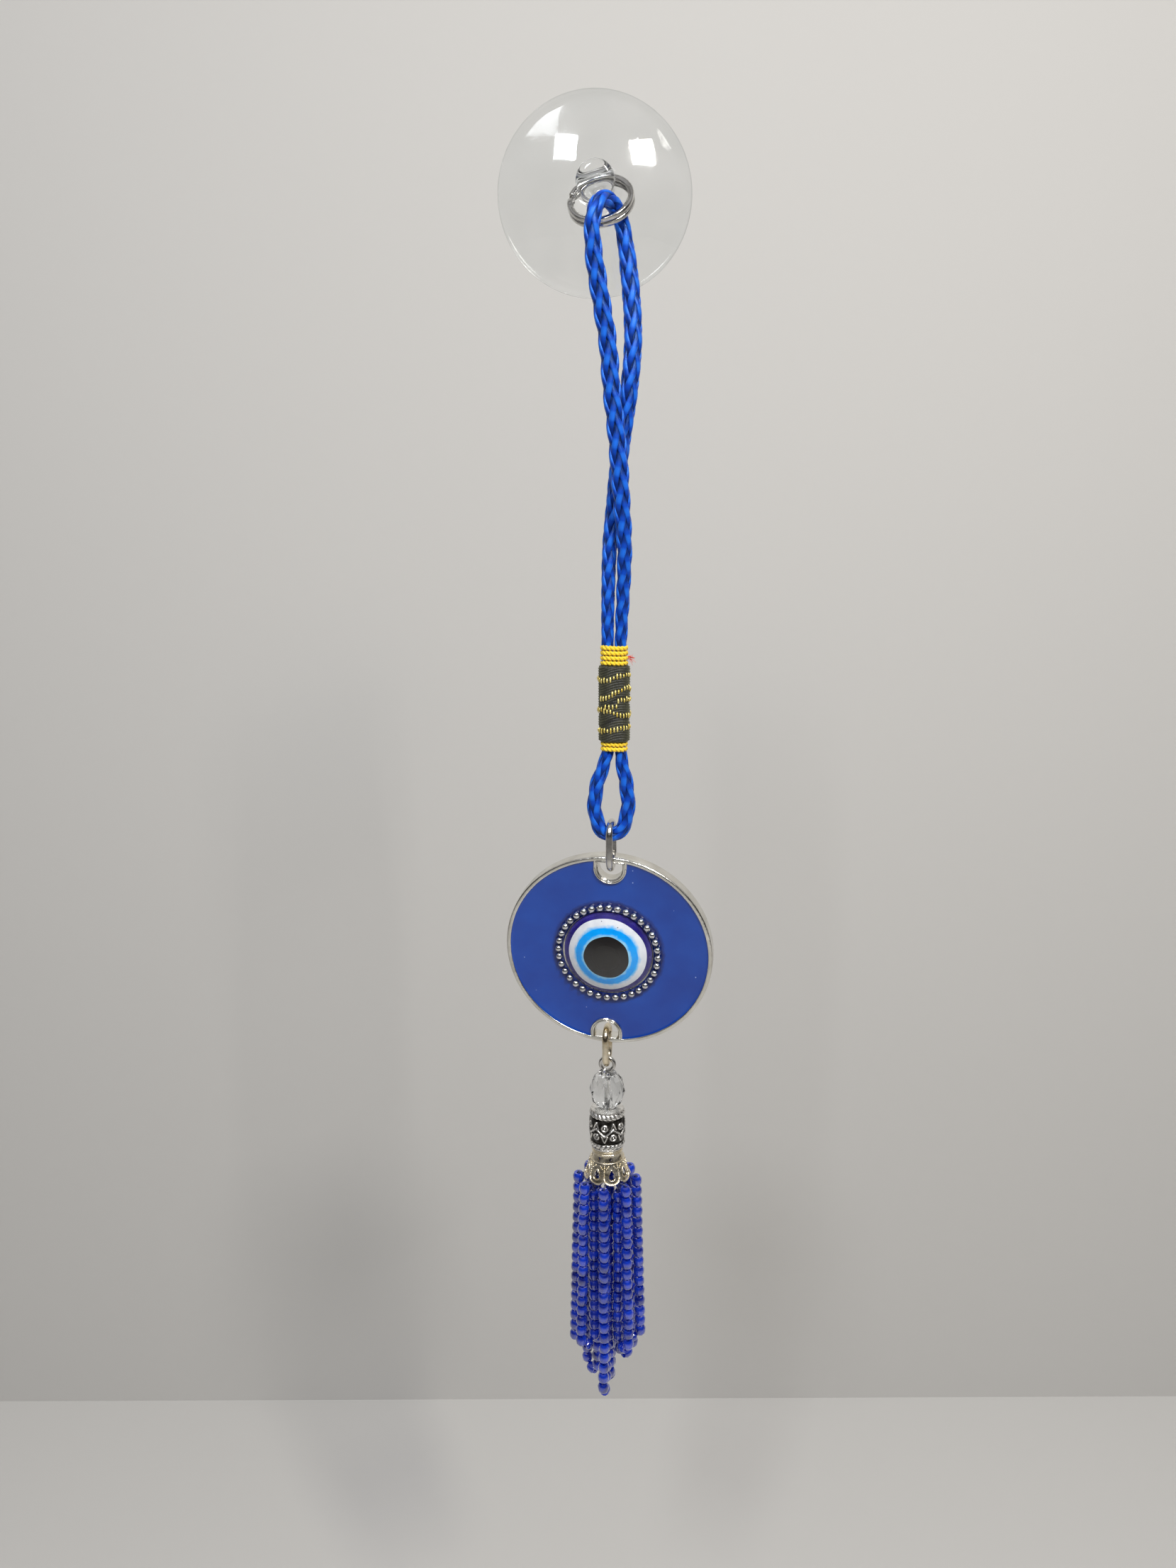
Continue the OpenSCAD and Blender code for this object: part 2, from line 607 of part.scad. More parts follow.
module bead_loop(k) {
    angle = loops[k][0];
    count = loops[k][1];
    slant = atan2(leg_out_low - leg_out_top, first_out - leg_low(k));
    color([0.05, 0.15, 0.75]) pin_frame() {
        for (i = [0:count - 1]) {
            z = first_out - i * seed_pitch;
            translate(on_loop(k, [leg_out(k, z), z])) rotate([0, -slant, angle - 90]) seed_bead();
        }
        for (i = [1:count - 1]) {
            z = first_out - i * seed_pitch;
            translate(on_loop(k, [leg_in, z])) seed_bead();
        }
        translate(on_loop(k, turn_mid(k) - [0, turn_r])) rotate([0, 90, angle - 90]) seed_bead();
    }
}

module loop_thread(k) {
    angle = loops[k][0];
    mid = turn_mid(k);
    r = thread_d / 2;
    pivot = on_loop(k, leg_pivot);
    top_out = on_loop(k, [leg_out_top, first_out + seed_len / 2 + 0.1]);
    top_in = on_loop(k, [leg_in, first_in]);
    low_out = on_loop(k, [leg_out_low, mid[1]]);
    low_in = on_loop(k, [leg_in, mid[1]]);
    color([0.1, 0.1, 0.4]) pin_frame() union() {
        rod(pivot, top_out, r);
        rod(pivot, top_in, r);
        for (bend = [pivot, top_out, top_in, low_out, low_in]) translate(bend) sphere(r = r * 1.25, $fn = 24);
        rod(top_out, low_out, r);
        rod(top_in, low_in, r);
        translate(on_loop(k, mid)) rotate([0, 0, angle - 90]) rotate([90, 0, 0]) rotate([0, 0, 180])
            rotate_extrude(angle = 180, $fn = 48) translate([turn_r, 0]) circle(r = r, $fn = 24);
    }
}

suction_cup();
split_ring();
braided_cord();
yellow_wrap_top();
brocade_sleeve();
yellow_wrap_bottom();
red_thread_tail();
upper_jump_ring();
pendant_casting();
enamel_fill();
beaded_bezel();
eye_base();
eye_white();
iris_deep();
iris_pale();
eye_pupil();
eye_coat();
lower_jump_ring();
eye_pin();
clear_bead();
barrel_bead();
cone_cap();
tassel_threads();
bead_loop(0);  // bead_loop_1
bead_loop(1);  // bead_loop_2
bead_loop(2);  // bead_loop_3
bead_loop(3);  // bead_loop_4
bead_loop(4);  // bead_loop_5
bead_loop(5);  // bead_loop_6
bead_loop(6);  // bead_loop_7
bead_loop(7);  // bead_loop_8
loop_thread(0);  // loop_thread_1
loop_thread(1);  // loop_thread_2
loop_thread(2);  // loop_thread_3
loop_thread(3);  // loop_thread_4
loop_thread(4);  // loop_thread_5
loop_thread(5);  // loop_thread_6
loop_thread(6);  // loop_thread_7
loop_thread(7);  // loop_thread_8
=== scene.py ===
# %% [markdown]
# # A hanging evil eye ornament
# The real thing is a small wall charm. A clear suction cup holds a split ring. A braided cord hangs from
# the ring, bound with yellow thread and a strip of brocade. Below it come a jump ring, an enamelled disc
# with a resin eye, another jump ring, and an eye pin with a glass bead, a cast barrel, a filigree cone and
# a tassel. The working shapes, sizes and pivots come from a CAD model that is already packed. This file
# gives every piece the surface that the real one shows, and never moves a CAD part.

# %% Load the CAD frame
import json
import math
import random

import bmesh
import bpy
import numpy as np
from mathutils import Matrix, Vector


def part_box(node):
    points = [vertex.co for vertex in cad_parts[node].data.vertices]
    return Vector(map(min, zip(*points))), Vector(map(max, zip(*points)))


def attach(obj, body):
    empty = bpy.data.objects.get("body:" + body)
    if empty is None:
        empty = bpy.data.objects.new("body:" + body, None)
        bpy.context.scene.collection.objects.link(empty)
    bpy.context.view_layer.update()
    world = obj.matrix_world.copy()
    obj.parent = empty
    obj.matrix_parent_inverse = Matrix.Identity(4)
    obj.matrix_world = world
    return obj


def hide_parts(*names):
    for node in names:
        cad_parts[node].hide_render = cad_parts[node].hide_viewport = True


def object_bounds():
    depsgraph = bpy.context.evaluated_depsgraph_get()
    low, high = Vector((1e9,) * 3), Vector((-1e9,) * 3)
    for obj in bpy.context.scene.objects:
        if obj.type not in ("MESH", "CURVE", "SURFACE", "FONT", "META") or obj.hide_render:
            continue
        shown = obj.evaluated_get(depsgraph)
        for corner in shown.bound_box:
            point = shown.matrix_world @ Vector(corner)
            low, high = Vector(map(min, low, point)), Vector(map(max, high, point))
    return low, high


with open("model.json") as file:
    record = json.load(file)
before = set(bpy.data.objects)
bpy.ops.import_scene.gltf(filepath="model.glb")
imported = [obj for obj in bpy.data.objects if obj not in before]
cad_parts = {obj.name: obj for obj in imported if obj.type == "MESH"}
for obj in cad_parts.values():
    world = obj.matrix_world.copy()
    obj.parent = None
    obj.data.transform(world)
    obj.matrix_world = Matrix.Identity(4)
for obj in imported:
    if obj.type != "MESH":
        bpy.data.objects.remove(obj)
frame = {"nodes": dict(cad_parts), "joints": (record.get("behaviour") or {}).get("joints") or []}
cad_low, cad_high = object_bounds()
MM = 0.001
joints = {j["name"]: j for j in frame["joints"]}

# %% [markdown]
# ## Local frames
# Most pieces are round about some axis, so each is easiest to model on its own axis and then to place with
# one matrix. The pivots of the CAD joints say where those axes are. A matrix is built from three directions
# and a place, and the finished mesh is multiplied by it, so the object itself stays at the origin.

# %% Places taken from the joints
def joint_place(name):
    return Vector(joints[name]["pos_m"])


def joint_axis(name):
    return Vector(joints[name]["axis"]).normalized()


def placed(right, up, origin):
    """A matrix whose X is right, whose Y is up and whose Z points out of the page they span."""
    right = right.normalized()
    up = up.normalized()
    out = right.cross(up)
    return Matrix.Translation(origin) @ Matrix((right, up, out)).transposed().to_4x4()


UP = Vector((0, 0, 1))
TO_VIEWER = Vector((0, -1, 0))
hole_axis = joint_axis("ring_tilt")
cup_place = placed(hole_axis, TO_VIEWER.cross(hole_axis), Vector((0, 0, 0)))
disc_top, disc_low = joint_place("pendant_swing"), joint_place("bottom_link_swing")
disc_place = placed(joint_axis("pendant_swing"), disc_top - disc_low, (disc_top + disc_low) / 2)
pin_place = placed(joint_axis("pin_sway").cross(UP), joint_axis("pin_sway"), joint_place("pin_sway"))
print("disc centre in mm:", [round(c / MM, 2) for c in disc_place.translation])

# %% [markdown]
# ## Shared making tools
# Lathed pieces start as a row of points, joined by edges, that bmesh's spin turns round the Z axis. A full
# spin needs use_merge, or the last ring lies on the first with an open seam. Normals are recalculated
# afterwards, because a spin can leave a shape inside out. Edges sharper than a set angle are marked sharp,
# so one mesh can have both soft and crisp places.

# %% From bmesh to a piece on a body
def finish_piece(bm, name, material, body, place=None, sharp=38, replaces=()):
    bmesh.ops.remove_doubles(bm, verts=bm.verts, dist=1e-7)
    bmesh.ops.recalc_face_normals(bm, faces=bm.faces)
    for face in bm.faces:
        face.smooth = True
    for edge in bm.edges:
        edge.smooth = len(edge.link_faces) != 2 or edge.calc_face_angle(0) < math.radians(sharp)
    mesh = bpy.data.meshes.new(name)
    bm.to_mesh(mesh)
    bm.free()
    if place is not None:
        mesh.transform(place)
    return as_piece(mesh, name, material, body, replaces)


def as_piece(mesh, name, material, body, replaces=()):
    piece = bpy.data.objects.new(name, mesh)
    bpy.context.scene.collection.objects.link(piece)
    if material is not None:
        mesh.materials.append(material)
    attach(piece, body)
    if replaces:
        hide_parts(*replaces)
    print(f"{name}: {len(mesh.polygons)} faces on {body}")
    return piece


# %% Lathe, cut and wire
def lathe(bm, points, steps):
    """Turns points, given in mm as radius and height, once round the Z axis."""
    verts = [bm.verts.new((r * MM, 0, z * MM)) for r, z in points]
    edges = [bm.edges.new(pair) for pair in zip(verts, verts[1:])]
    bmesh.ops.spin(bm, geom=verts + edges, cent=(0, 0, 0), axis=(0, 0, 1), angle=2 * math.pi,
                   steps=steps, use_merge=True, use_duplicate=False)
    bmesh.ops.remove_doubles(bm, verts=bm.verts, dist=1e-7)


def arc(centre, radius, start, end, steps):
    """Points of an arc, so that round stretches of a profile are never a list of numbers."""
    turn = [math.radians(start + (end - start) * i / steps) for i in range(steps + 1)]
    return [(centre[0] + radius * math.cos(a), centre[1] + radius * math.sin(a)) for a in turn]


def combined(mesh, tools, operation="DIFFERENCE"):
    """Cuts a mesh with others, or unites it with them, by modifiers, and returns the new mesh."""
    body, *helpers = [bpy.data.objects.new("boolean_part", part) for part in (mesh, *tools)]
    for part in (body, *helpers):
        bpy.context.scene.collection.objects.link(part)
    for helper in helpers:
        boolean = body.modifiers.new("boolean", "BOOLEAN")
        boolean.operation = operation
        boolean.solver = "EXACT"
        boolean.object = helper
    bpy.context.view_layer.update()
    result = bpy.data.meshes.new_from_object(body.evaluated_get(bpy.context.evaluated_depsgraph_get()))
    for part in (body, *helpers):
        bpy.data.objects.remove(part)
    return result


def only_verts(result):
    """The vertices among what an operator made."""
    return [part for part in result["geom"] if isinstance(part, bmesh.types.BMVert)]


def as_bm(mesh):
    bm = bmesh.new()
    bm.from_mesh(mesh)
    return bm


def mesh_of(bm):
    bmesh.ops.recalc_face_normals(bm, faces=bm.faces)
    mesh = bpy.data.meshes.new("part")
    bm.to_mesh(mesh)
    bm.free()
    return mesh


def rod_mesh(radius, low, high, sides=48, turn=Matrix.Identity(4)):
    """A straight cylinder along Z, used to drill with."""
    bm = bmesh.new()
    bmesh.ops.create_cone(bm, cap_ends=True, segments=sides, radius1=radius * MM, radius2=radius * MM,
                          depth=(high - low) * MM)
    bmesh.ops.translate(bm, verts=bm.verts, vec=(0, 0, (high + low) / 2 * MM))
    bmesh.ops.transform(bm, matrix=turn, verts=bm.verts)
    return mesh_of(bm)


print("tools ready")

# %% [markdown]
# ## Materials and what they share
# A small class adds nodes to a tree, linking sockets and storing constants. A node group is a small machine
# with named inputs that can be dropped into many materials. These put out only a value or a mask. The
# shader itself stays in each material, so that each finish sets its own gloss.

# %% Node tools
class Nodes:
    """Short ways to add nodes to one node tree."""

    def __init__(self, tree):
        self.tree, self.nodes, self.links = tree, tree.nodes, tree.links

    def give(self, slot, value):
        """Links a socket to an input, or stores a constant in it; three numbers are an opaque colour."""
        if isinstance(value, bpy.types.NodeSocket):
            self.links.new(value, slot)
        elif slot.type == "RGBA" and len(value) == 3:
            slot.default_value = (*value, 1)
        else:
            slot.default_value = value

    def node(self, kind, inputs=None, **settings):
        made = self.nodes.new("ShaderNode" + kind)
        for label, value in settings.items():
            setattr(made, label, value)
        for label, value in (inputs or {}).items():
            self.give(made.inputs[label], value)
        return made

    def math(self, operation, *values):
        return self.node("Math", dict(enumerate(values)), operation=operation).outputs[0]

    def spread(self, value, low, high):
        """0 at the low value and 1 at the high one."""
        return self.node("MapRange", {"Value": value, "From Min": low, "From Max": high}).outputs[0]

    def mix(self, factor, first, second, blend="MIX"):
        """Mixes two colours, each a socket or three numbers."""
        made = self.node("Mix", data_type="RGBA", blend_type=blend)
        for slot, value in ((0, factor), (6, first), (7, second)):
            self.give(made.inputs[slot], value)
        return made.outputs[2]

    def ramp(self, value, stops, blend="EASE"):
        made = self.node("ValToRGB", {"Fac": value})
        made.color_ramp.interpolation = blend
        while len(made.color_ramp.elements) < len(stops):
            made.color_ramp.elements.new(0.5)
        for element, (place, colour) in zip(made.color_ramp.elements, stops):
            element.position = place
            element.color = (*colour, 1)
        return made.outputs["Color"]

    def clear_when(self, passing, shader, tint=(1, 1, 1)):
        """A shader that turns into clear nothing where the value is 1."""
        clear = self.node("BsdfTransparent", {"Color": tint}).outputs[0]
        mixed = self.node("MixShader", {0: passing, 1: shader.outputs[0], 2: clear}).outputs[0]
        self.give(self.nodes["Material Output"].inputs["Surface"], mixed)


# %% Node groups
def node_group(name, result, **defaults):
    """An empty group: a vector and some numbers go in, and one number comes out."""
    group = bpy.data.node_groups.new(name, "ShaderNodeTree")
    group.interface.new_socket("Vector", in_out="INPUT", socket_type="NodeSocketVector")
    for label, value in defaults.items():
        group.interface.new_socket(label, in_out="INPUT", socket_type="NodeSocketFloat").default_value = value
    group.interface.new_socket(result, in_out="OUTPUT", socket_type="NodeSocketFloat")
    given = group.nodes.new("NodeGroupInput").outputs
    return Nodes(group), given, group.nodes.new("NodeGroupOutput").inputs[result]


def mottle_group():
    """Cloudy variation between two values, for roughness, tint and thickness."""
    group, given, out = node_group("mottle", "Value", Scale=300.0, Low=0.0, High=1.0)
    noise = group.node("TexNoise", {"Vector": given["Vector"], "Scale": given["Scale"], "Detail": 4})
    levels = {"From Min": 0.3, "From Max": 0.7, "To Min": given["Low"], "To Max": given["High"]}
    group.give(out, group.node("MapRange", {"Value": noise.outputs["Fac"], **levels}).outputs["Result"])
    return group.tree


def speck_group():
    """Scattered dots: 1 inside a speck and 0 elsewhere."""
    group, given, out = node_group("specks", "Mask", Scale=800.0, Size=0.12, Share=0.2)
    cells = group.node("TexVoronoi", {"Vector": given["Vector"], "Scale": given["Scale"]}).outputs
    pick = group.node("SeparateColor", {"Color": cells["Color"]}).outputs["Red"]
    near = group.math("LESS_THAN", cells["Distance"], given["Size"])
    group.give(out, group.math("MULTIPLY", near, group.math("LESS_THAN", pick, given["Share"])))
    return group.tree


def fibre_group():
    """Fine filaments that run along a thread: U is across it and V along it, in millimetres."""
    group, given, out = node_group("fibres", "Value", Across=24.0, Along=0.6)
    parts = group.node("SeparateXYZ", {0: given["Vector"]}).outputs
    across = group.math("MULTIPLY", parts["X"], given["Across"])
    along = group.math("MULTIPLY", parts["Y"], given["Along"])
    place = group.node("CombineXYZ", {"X": across, "Y": along}).outputs[0]
    group.give(out, group.node("TexNoise", {"Vector": place, "Scale": 1.0, "Detail": 3}).outputs["Fac"])
    return group.tree


MOTTLE, SPECKS, FIBRES = mottle_group(), speck_group(), fibre_group()
print("groups:", [g.name for g in (MOTTLE, SPECKS, FIBRES)])

# %% Material tools
class Finish(Nodes):
    """A material with its Principled shader. A socket's name is written with _ for each space."""

    def __init__(self, name, **sockets):
        self.material = bpy.data.materials.new(name)
        self.material.use_nodes = True
        super().__init__(self.material.node_tree)
        self.shader = self.nodes["Principled BSDF"]
        for label, value in sockets.items():
            self.give(self.shader.inputs[label.replace("_", " ")], value)

    def coords(self, kind="Object"):
        return self.node("TexCoord").outputs[kind]

    def grouped(self, group, vector, **values):
        return self.node("Group", {"Vector": vector, **values}, node_tree=group).outputs[0]

    def clouds(self, scale, low=0.0, high=1.0):
        """A cloudy value between two limits, in the object's own coordinates."""
        return self.grouped(MOTTLE, self.coords(), Scale=scale, Low=low, High=high)

    def number(self, name):
        """A value that was stored on the mesh."""
        return self.node("Attribute", attribute_name=name).outputs["Fac"]

    def bump(self, height, depth, strength=1.0):
        """Depth is in millimetres."""
        made = self.node("Bump", {"Distance": depth * MM, "Strength": strength, "Height": height})
        self.give(self.shader.inputs["Normal"], made.outputs["Normal"])

    def colour(self, socket):
        self.give(self.shader.inputs["Base Color"], socket)

    def roughness(self, socket):
        self.give(self.shader.inputs["Roughness"], socket)

    def clear_to_light(self, tint):
        """Shadow and diffuse rays pass, tinted, so light reaches what is behind; others meet the shader.

        Both have to pass. If only shadow rays did, the lamps would light what is behind twice.
        """
        path = self.node("LightPath").outputs
        passing = self.math("MAXIMUM", path["Is Shadow Ray"], path["Is Diffuse Ray"])
        self.clear_when(passing, self.shader, tint)


def clouded(name, tint_scale, first, second, gloss=None, grain=None, clear=None, **sockets):
    """A finish with a cloudy tint and, if given, a cloudy gloss, a grain and a tint for light let by."""
    finish = Finish(name, **sockets)
    finish.colour(finish.mix(finish.clouds(tint_scale), first, second))
    if gloss:
        finish.roughness(finish.clouds(*gloss))
    if grain:
        scale, *depth_and_strength = grain
        finish.bump(finish.clouds(scale), *depth_and_strength)
    if clear:
        finish.clear_to_light(clear)
    return finish.material


print("finish tools ready")

# %% [markdown]
# ## Camera, wall and light
# The charm hangs as if its cup were on a clear window pane, seen from the front and a little above its
# middle. A pale wall stands well behind it, so that the chain can swing either way without going into the
# wall. The wall is seen only from its front: rays pass through it from behind, so that the back of the
# charm can be looked at too, and it casts no shadow. Two soft boxes stand above on the left and right,
# because the real highlights are double.

# %% Camera
camera_data = bpy.data.cameras.new("camera")
camera = bpy.data.objects.new("camera", camera_data)
bpy.context.scene.collection.objects.link(camera)
camera_data.lens = 27.05
camera_data.sensor_width = 36
camera_data.clip_start = 0.005
camera_spot = (-0.0017, -0.230, -0.0575)
look_down, roll = 12.5, 0.25
camera.matrix_world = (
    Matrix.Translation(camera_spot)
    @ Matrix.Rotation(math.radians(90 - look_down), 4, "X")
    @ Matrix.Rotation(math.radians(-roll), 4, "Z")
)
bpy.context.scene.camera = camera
print("camera at", [round(c, 4) for c in camera.location])

# %% Wall and floor
def plain_plaster():
    """Pale matt plaster that is only there when it is met from its front."""
    plaster = Finish("plain_plaster", Base_Color=(0.56, 0.55, 0.53), Roughness=0.85)
    behind = plaster.node("NewGeometry").outputs["Backfacing"]
    shadow = plaster.node("LightPath").outputs["Is Shadow Ray"]
    plaster.clear_when(plaster.math("MAXIMUM", behind, shadow), plaster.shader)
    return plaster.material


def backdrop():
    wall_gap, half, floor_z = 0.18, 1.6, cad_low.z - 0.16
    bm = bmesh.new()
    corners = ((-half, floor_z), (half, floor_z), (half, half), (-half, half))
    wall = bm.faces.new([bm.verts.new((x, wall_gap, z)) for x, z in corners])
    lowest = [edge for edge in wall.edges if max(vert.co.z for vert in edge.verts) < 0]
    foot = only_verts(bmesh.ops.extrude_edge_only(bm, edges=lowest))
    bmesh.ops.translate(bm, vec=(0, -2 * half, 0), verts=foot)
    bm.normal_update()
    for face in bm.faces:
        if face.normal.y - face.normal.z > 0:
            face.normal_flip()
    mesh = bpy.data.meshes.new("backdrop")
    bm.to_mesh(mesh)
    bm.free()
    mesh.materials.append(plain_plaster())
    stage = bpy.data.objects.new("backdrop", mesh)
    bpy.context.scene.collection.objects.link(stage)
    print("floor at", round(floor_z, 3))


backdrop()

# %% Lights
def soft_box(name, place, aim, size, power, colour):
    data = bpy.data.lights.new(name, "AREA")
    data.shape = "RECTANGLE"
    data.size, data.size_y = size
    data.energy = power
    data.color = colour
    box = bpy.data.objects.new(name, data)
    bpy.context.scene.collection.objects.link(box)
    box.location = place
    box.rotation_euler = (Vector(aim) - Vector(place)).to_track_quat("-Z", "Y").to_euler()
    return box


middle = (cad_low + cad_high) / 2
soft_box("box_right", (0.22, -0.42, 0.30), middle, (0.12, 0.12), 3.4, (1.0, 0.97, 0.93))
soft_box("box_left", (-0.13, -0.44, 0.32), middle, (0.10, 0.12), 1.9, (0.95, 0.97, 1.0))
back_box = soft_box("box_behind", (0.10, 0.55, 0.10), middle, (0.5, 0.5), 1.0, (1.0, 1.0, 1.0))
back_box.visible_transmission = False
world = bpy.data.worlds.new("studio")
bpy.context.scene.world = world
world.use_nodes = True
world_nodes = Nodes(world.node_tree)
sky_place = world_nodes.node("TexCoord").outputs["Generated"]
sky_z = world_nodes.node("SeparateXYZ", {0: sky_place}).outputs["Z"]
grey_stops = ((0.42, 0.22), (0.52, 0.06), (0.60, 0.10), (0.72, 0.75))
greys = [(stop, (shade, shade, shade * 1.06)) for stop, shade in grey_stops]
bands = [(0.0, (0.30, 0.28, 0.26)), *greys, (1.0, (1.0, 1.0, 1.0))]
background = world_nodes.nodes["Background"].inputs
world_nodes.give(background["Color"], world_nodes.ramp(world_nodes.spread(sky_z, -1, 1), bands, "LINEAR"))
background["Strength"].default_value = 0.38
bpy.context.scene.view_settings.view_transform = "Standard"
print("lights set")

# %% [markdown]
# ## The braided cord
# The cord is a satin braid of twelve strands. Six turn to the left and six to the right, and each passes
# over two of the others and then under two. That makes upright columns of long stitches that lean towards
# each other. No operator weaves, so the route comes first, as a smooth line through listed points, and
# every strand is a small flattened tube that winds round that line and rises and sinks as it crosses the
# others.

# %% The cord's route
cord_points = [
    (2.0, -14.6, -90.0), (2.0, -14.6, -86), (2.0, -14.6, -80), (2.0, -14.5, -76), (2.1, -14.2, -70),
    (2.4, -13.5, -62), (3.4, -13.0, -53), (4.0, -12.9, -47.5), (4.9, -12.9, -41), (5.8, -12.9, -35),
    (6.5, -12.4, -27), (6.3, -11.4, -20), (5.6, -10.5, -13), (5.0, -10.1, -9), (4.3, -10.3, -6.2),
    (3.2, -11.3, -4.4), (2.0, -13.0, -3.8), (0.7, -14.8, -4.5), (-0.3, -15.9, -6.5), (-0.6, -16.2, -9.5),
    (-0.2, -16.1, -14), (0.8, -15.9, -20), (2.0, -15.7, -27), (2.7, -15.8, -35), (3.4, -15.9, -41),
    (4.0, -16.0, -47.5), (4.4, -16.0, -53), (5.0, -15.5, -62), (4.8, -14.9, -70), (4.5, -14.7, -76),
    (4.4, -14.6, -80), (4.4, -14.6, -86), (4.4, -14.6, -92), (4.4, -14.6, -99), (4.7, -14.6, -101.5),
    (5.4, -14.8, -105), (5.8, -15, -109), (5.2, -15, -112.7), (4.2, -15, -114.4), (2.65, -15, -114.9),
    (1.1, -15, -114.4), (0.1, -15, -112.7), (-0.5, -15, -109), (0.1, -14.8, -105), (1.3, -14.6, -101.5),
    (2.0, -14.6, -99), (2.0, -14.6, -94), (2.0, -14.6, -90.6)]


def smooth_line(points, step):
    """A curve through the points (Catmull-Rom, by chord length), resampled at an even step."""
    points = np.array(points, float)
    ends = np.vstack([2 * points[0] - points[1], points, 2 * points[-1] - points[-2]])
    line = []
    for before, start, end, after in zip(ends, ends[1:], ends[2:], ends[3:]):
        span = np.linalg.norm(end - start)
        pull_in = (end - before) / (np.linalg.norm(start - before) + span) * span
        pull_out = (after - start) / (np.linalg.norm(after - end) + span) * span
        t = np.linspace(0, 1, 24, endpoint=False)[:, None]
        line.append((2 * t**3 - 3 * t**2 + 1) * start + (t**3 - 2 * t**2 + t) * pull_in
                    + (3 * t**2 - 2 * t**3) * end + (t**3 - t**2) * pull_out)
    line = np.vstack([*line, points[-1:]])
    along = np.r_[0, np.cumsum(np.linalg.norm(np.diff(line, axis=0), axis=1))]
    places = np.linspace(0, along[-1], int(along[-1] / step) + 1)
    return np.stack([np.interp(places, along, line[:, k]) for k in range(3)], axis=1), places


def unit(vectors):
    return vectors / np.maximum(np.linalg.norm(vectors, axis=-1, keepdims=True), 1e-9)


def carried_frames(line, first=(1, 0, 0)):
    """Two directions square to the line at each point, carried along it without twisting."""
    heading = unit(np.gradient(line, axis=0))
    sides = []
    side = np.array(first, float)
    for ahead in heading:
        side = unit(side - ahead * (side @ ahead))
        sides.append(side)
    sides = np.array(sides)
    return heading, sides, np.cross(heading, sides)


cord_line, cord_along = smooth_line(cord_points, 0.5)

# %% Skins from rows of points
def skin(rows, capped=True):
    """A tube from rings of points. Returns the vertices, the faces and a UV for each corner."""
    count, around = rows.shape[:2]
    verts = rows.reshape(-1, 3)
    faces, uvs = [], []
    for i in range(count - 1):
        for k in range(around):
            b = (k + 1) % around
            faces.append((i * around + k, i * around + b, (i + 1) * around + b, (i + 1) * around + k))
            left, right = k / around, (k + 1) / around
            uvs.append(((left, i), (right, i), (right, i + 1), (left, i + 1)))
    if capped:
        faces.append(tuple(range(around - 1, -1, -1)))
        faces.append(tuple((count - 1) * around + k for k in range(around)))
        uvs += [tuple((k / around, 0) for k in range(around))] * 2
    return verts, faces, uvs


def joined_skins(name, skins, step, heights=None):
    """One mesh from several skins, with UV across and along in mm, and a height stored at each point."""
    verts, faces, uvs = [], [], []
    for part_verts, part_faces, part_uvs in skins:
        first = sum(map(len, verts))
        faces += [tuple(i + first for i in face) for face in part_faces]
        verts.append(part_verts)
        uvs += part_uvs
    mesh = bpy.data.meshes.new(name)
    mesh.from_pydata((np.vstack(verts) * MM).tolist(), [], faces)
    layer = mesh.uv_layers.new(name="UVMap")
    flat = [(u, v * step) for corners in uvs for u, v in corners]
    layer.data.foreach_set("uv", np.array(flat, np.float32).ravel())
    if heights is not None:
        stored = mesh.attributes.new("height", "FLOAT", "POINT")
        stored.data.foreach_set("value", np.concatenate(heights).astype(np.float32))
    mesh.shade_smooth()
    mesh.update()
    return mesh


def tube(line, side, out, half_w, half_t, sides):
    """The skin of an oval tube; its half-widths are one number or one for each point of the line."""
    a = np.linspace(0, 2 * np.pi, sides, endpoint=False)[None, :, None]
    half_w, half_t = (np.reshape(half, (-1, 1, 1)) for half in (half_w, half_t))
    side, out = (np.reshape(way, (-1, 1, 3)) for way in (side, out))
    return skin(line[:, None, :] + half_w * np.cos(a) * side + half_t * np.sin(a) * out)


# %% Twelve strands woven along the route
bind_top, bind_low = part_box("yellow_wrap_top")[1].z / MM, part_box("yellow_wrap_bottom")[0].z / MM
loose_above, loose_below = -60, -105
bound_share = 2.36 / 2.9
strands, lay = 6, 28.0          # strands of each hand, and the length in which one goes once round
strand_w, strand_t = 0.61, 0.34
core_r, weave_r = 0.90, 0.21


def cord_share(z):
    """How much of its loose thickness the cord has at a height, by the grip of the binding."""
    return np.interp(z, [loose_below, bind_low, bind_top, loose_above], [1, bound_share, bound_share, 1])


def flattened(offset, z):
    """The braid is pressed a little flat, and most where it hangs in front of the ring."""
    wide = 1 + 0.22 * np.clip((z + 62) / 12, 0, 1) * np.clip(-(z + 9) / 6, 0, 1)
    return offset * np.stack([wide, 1 / wide, np.ones_like(wide)], axis=1)


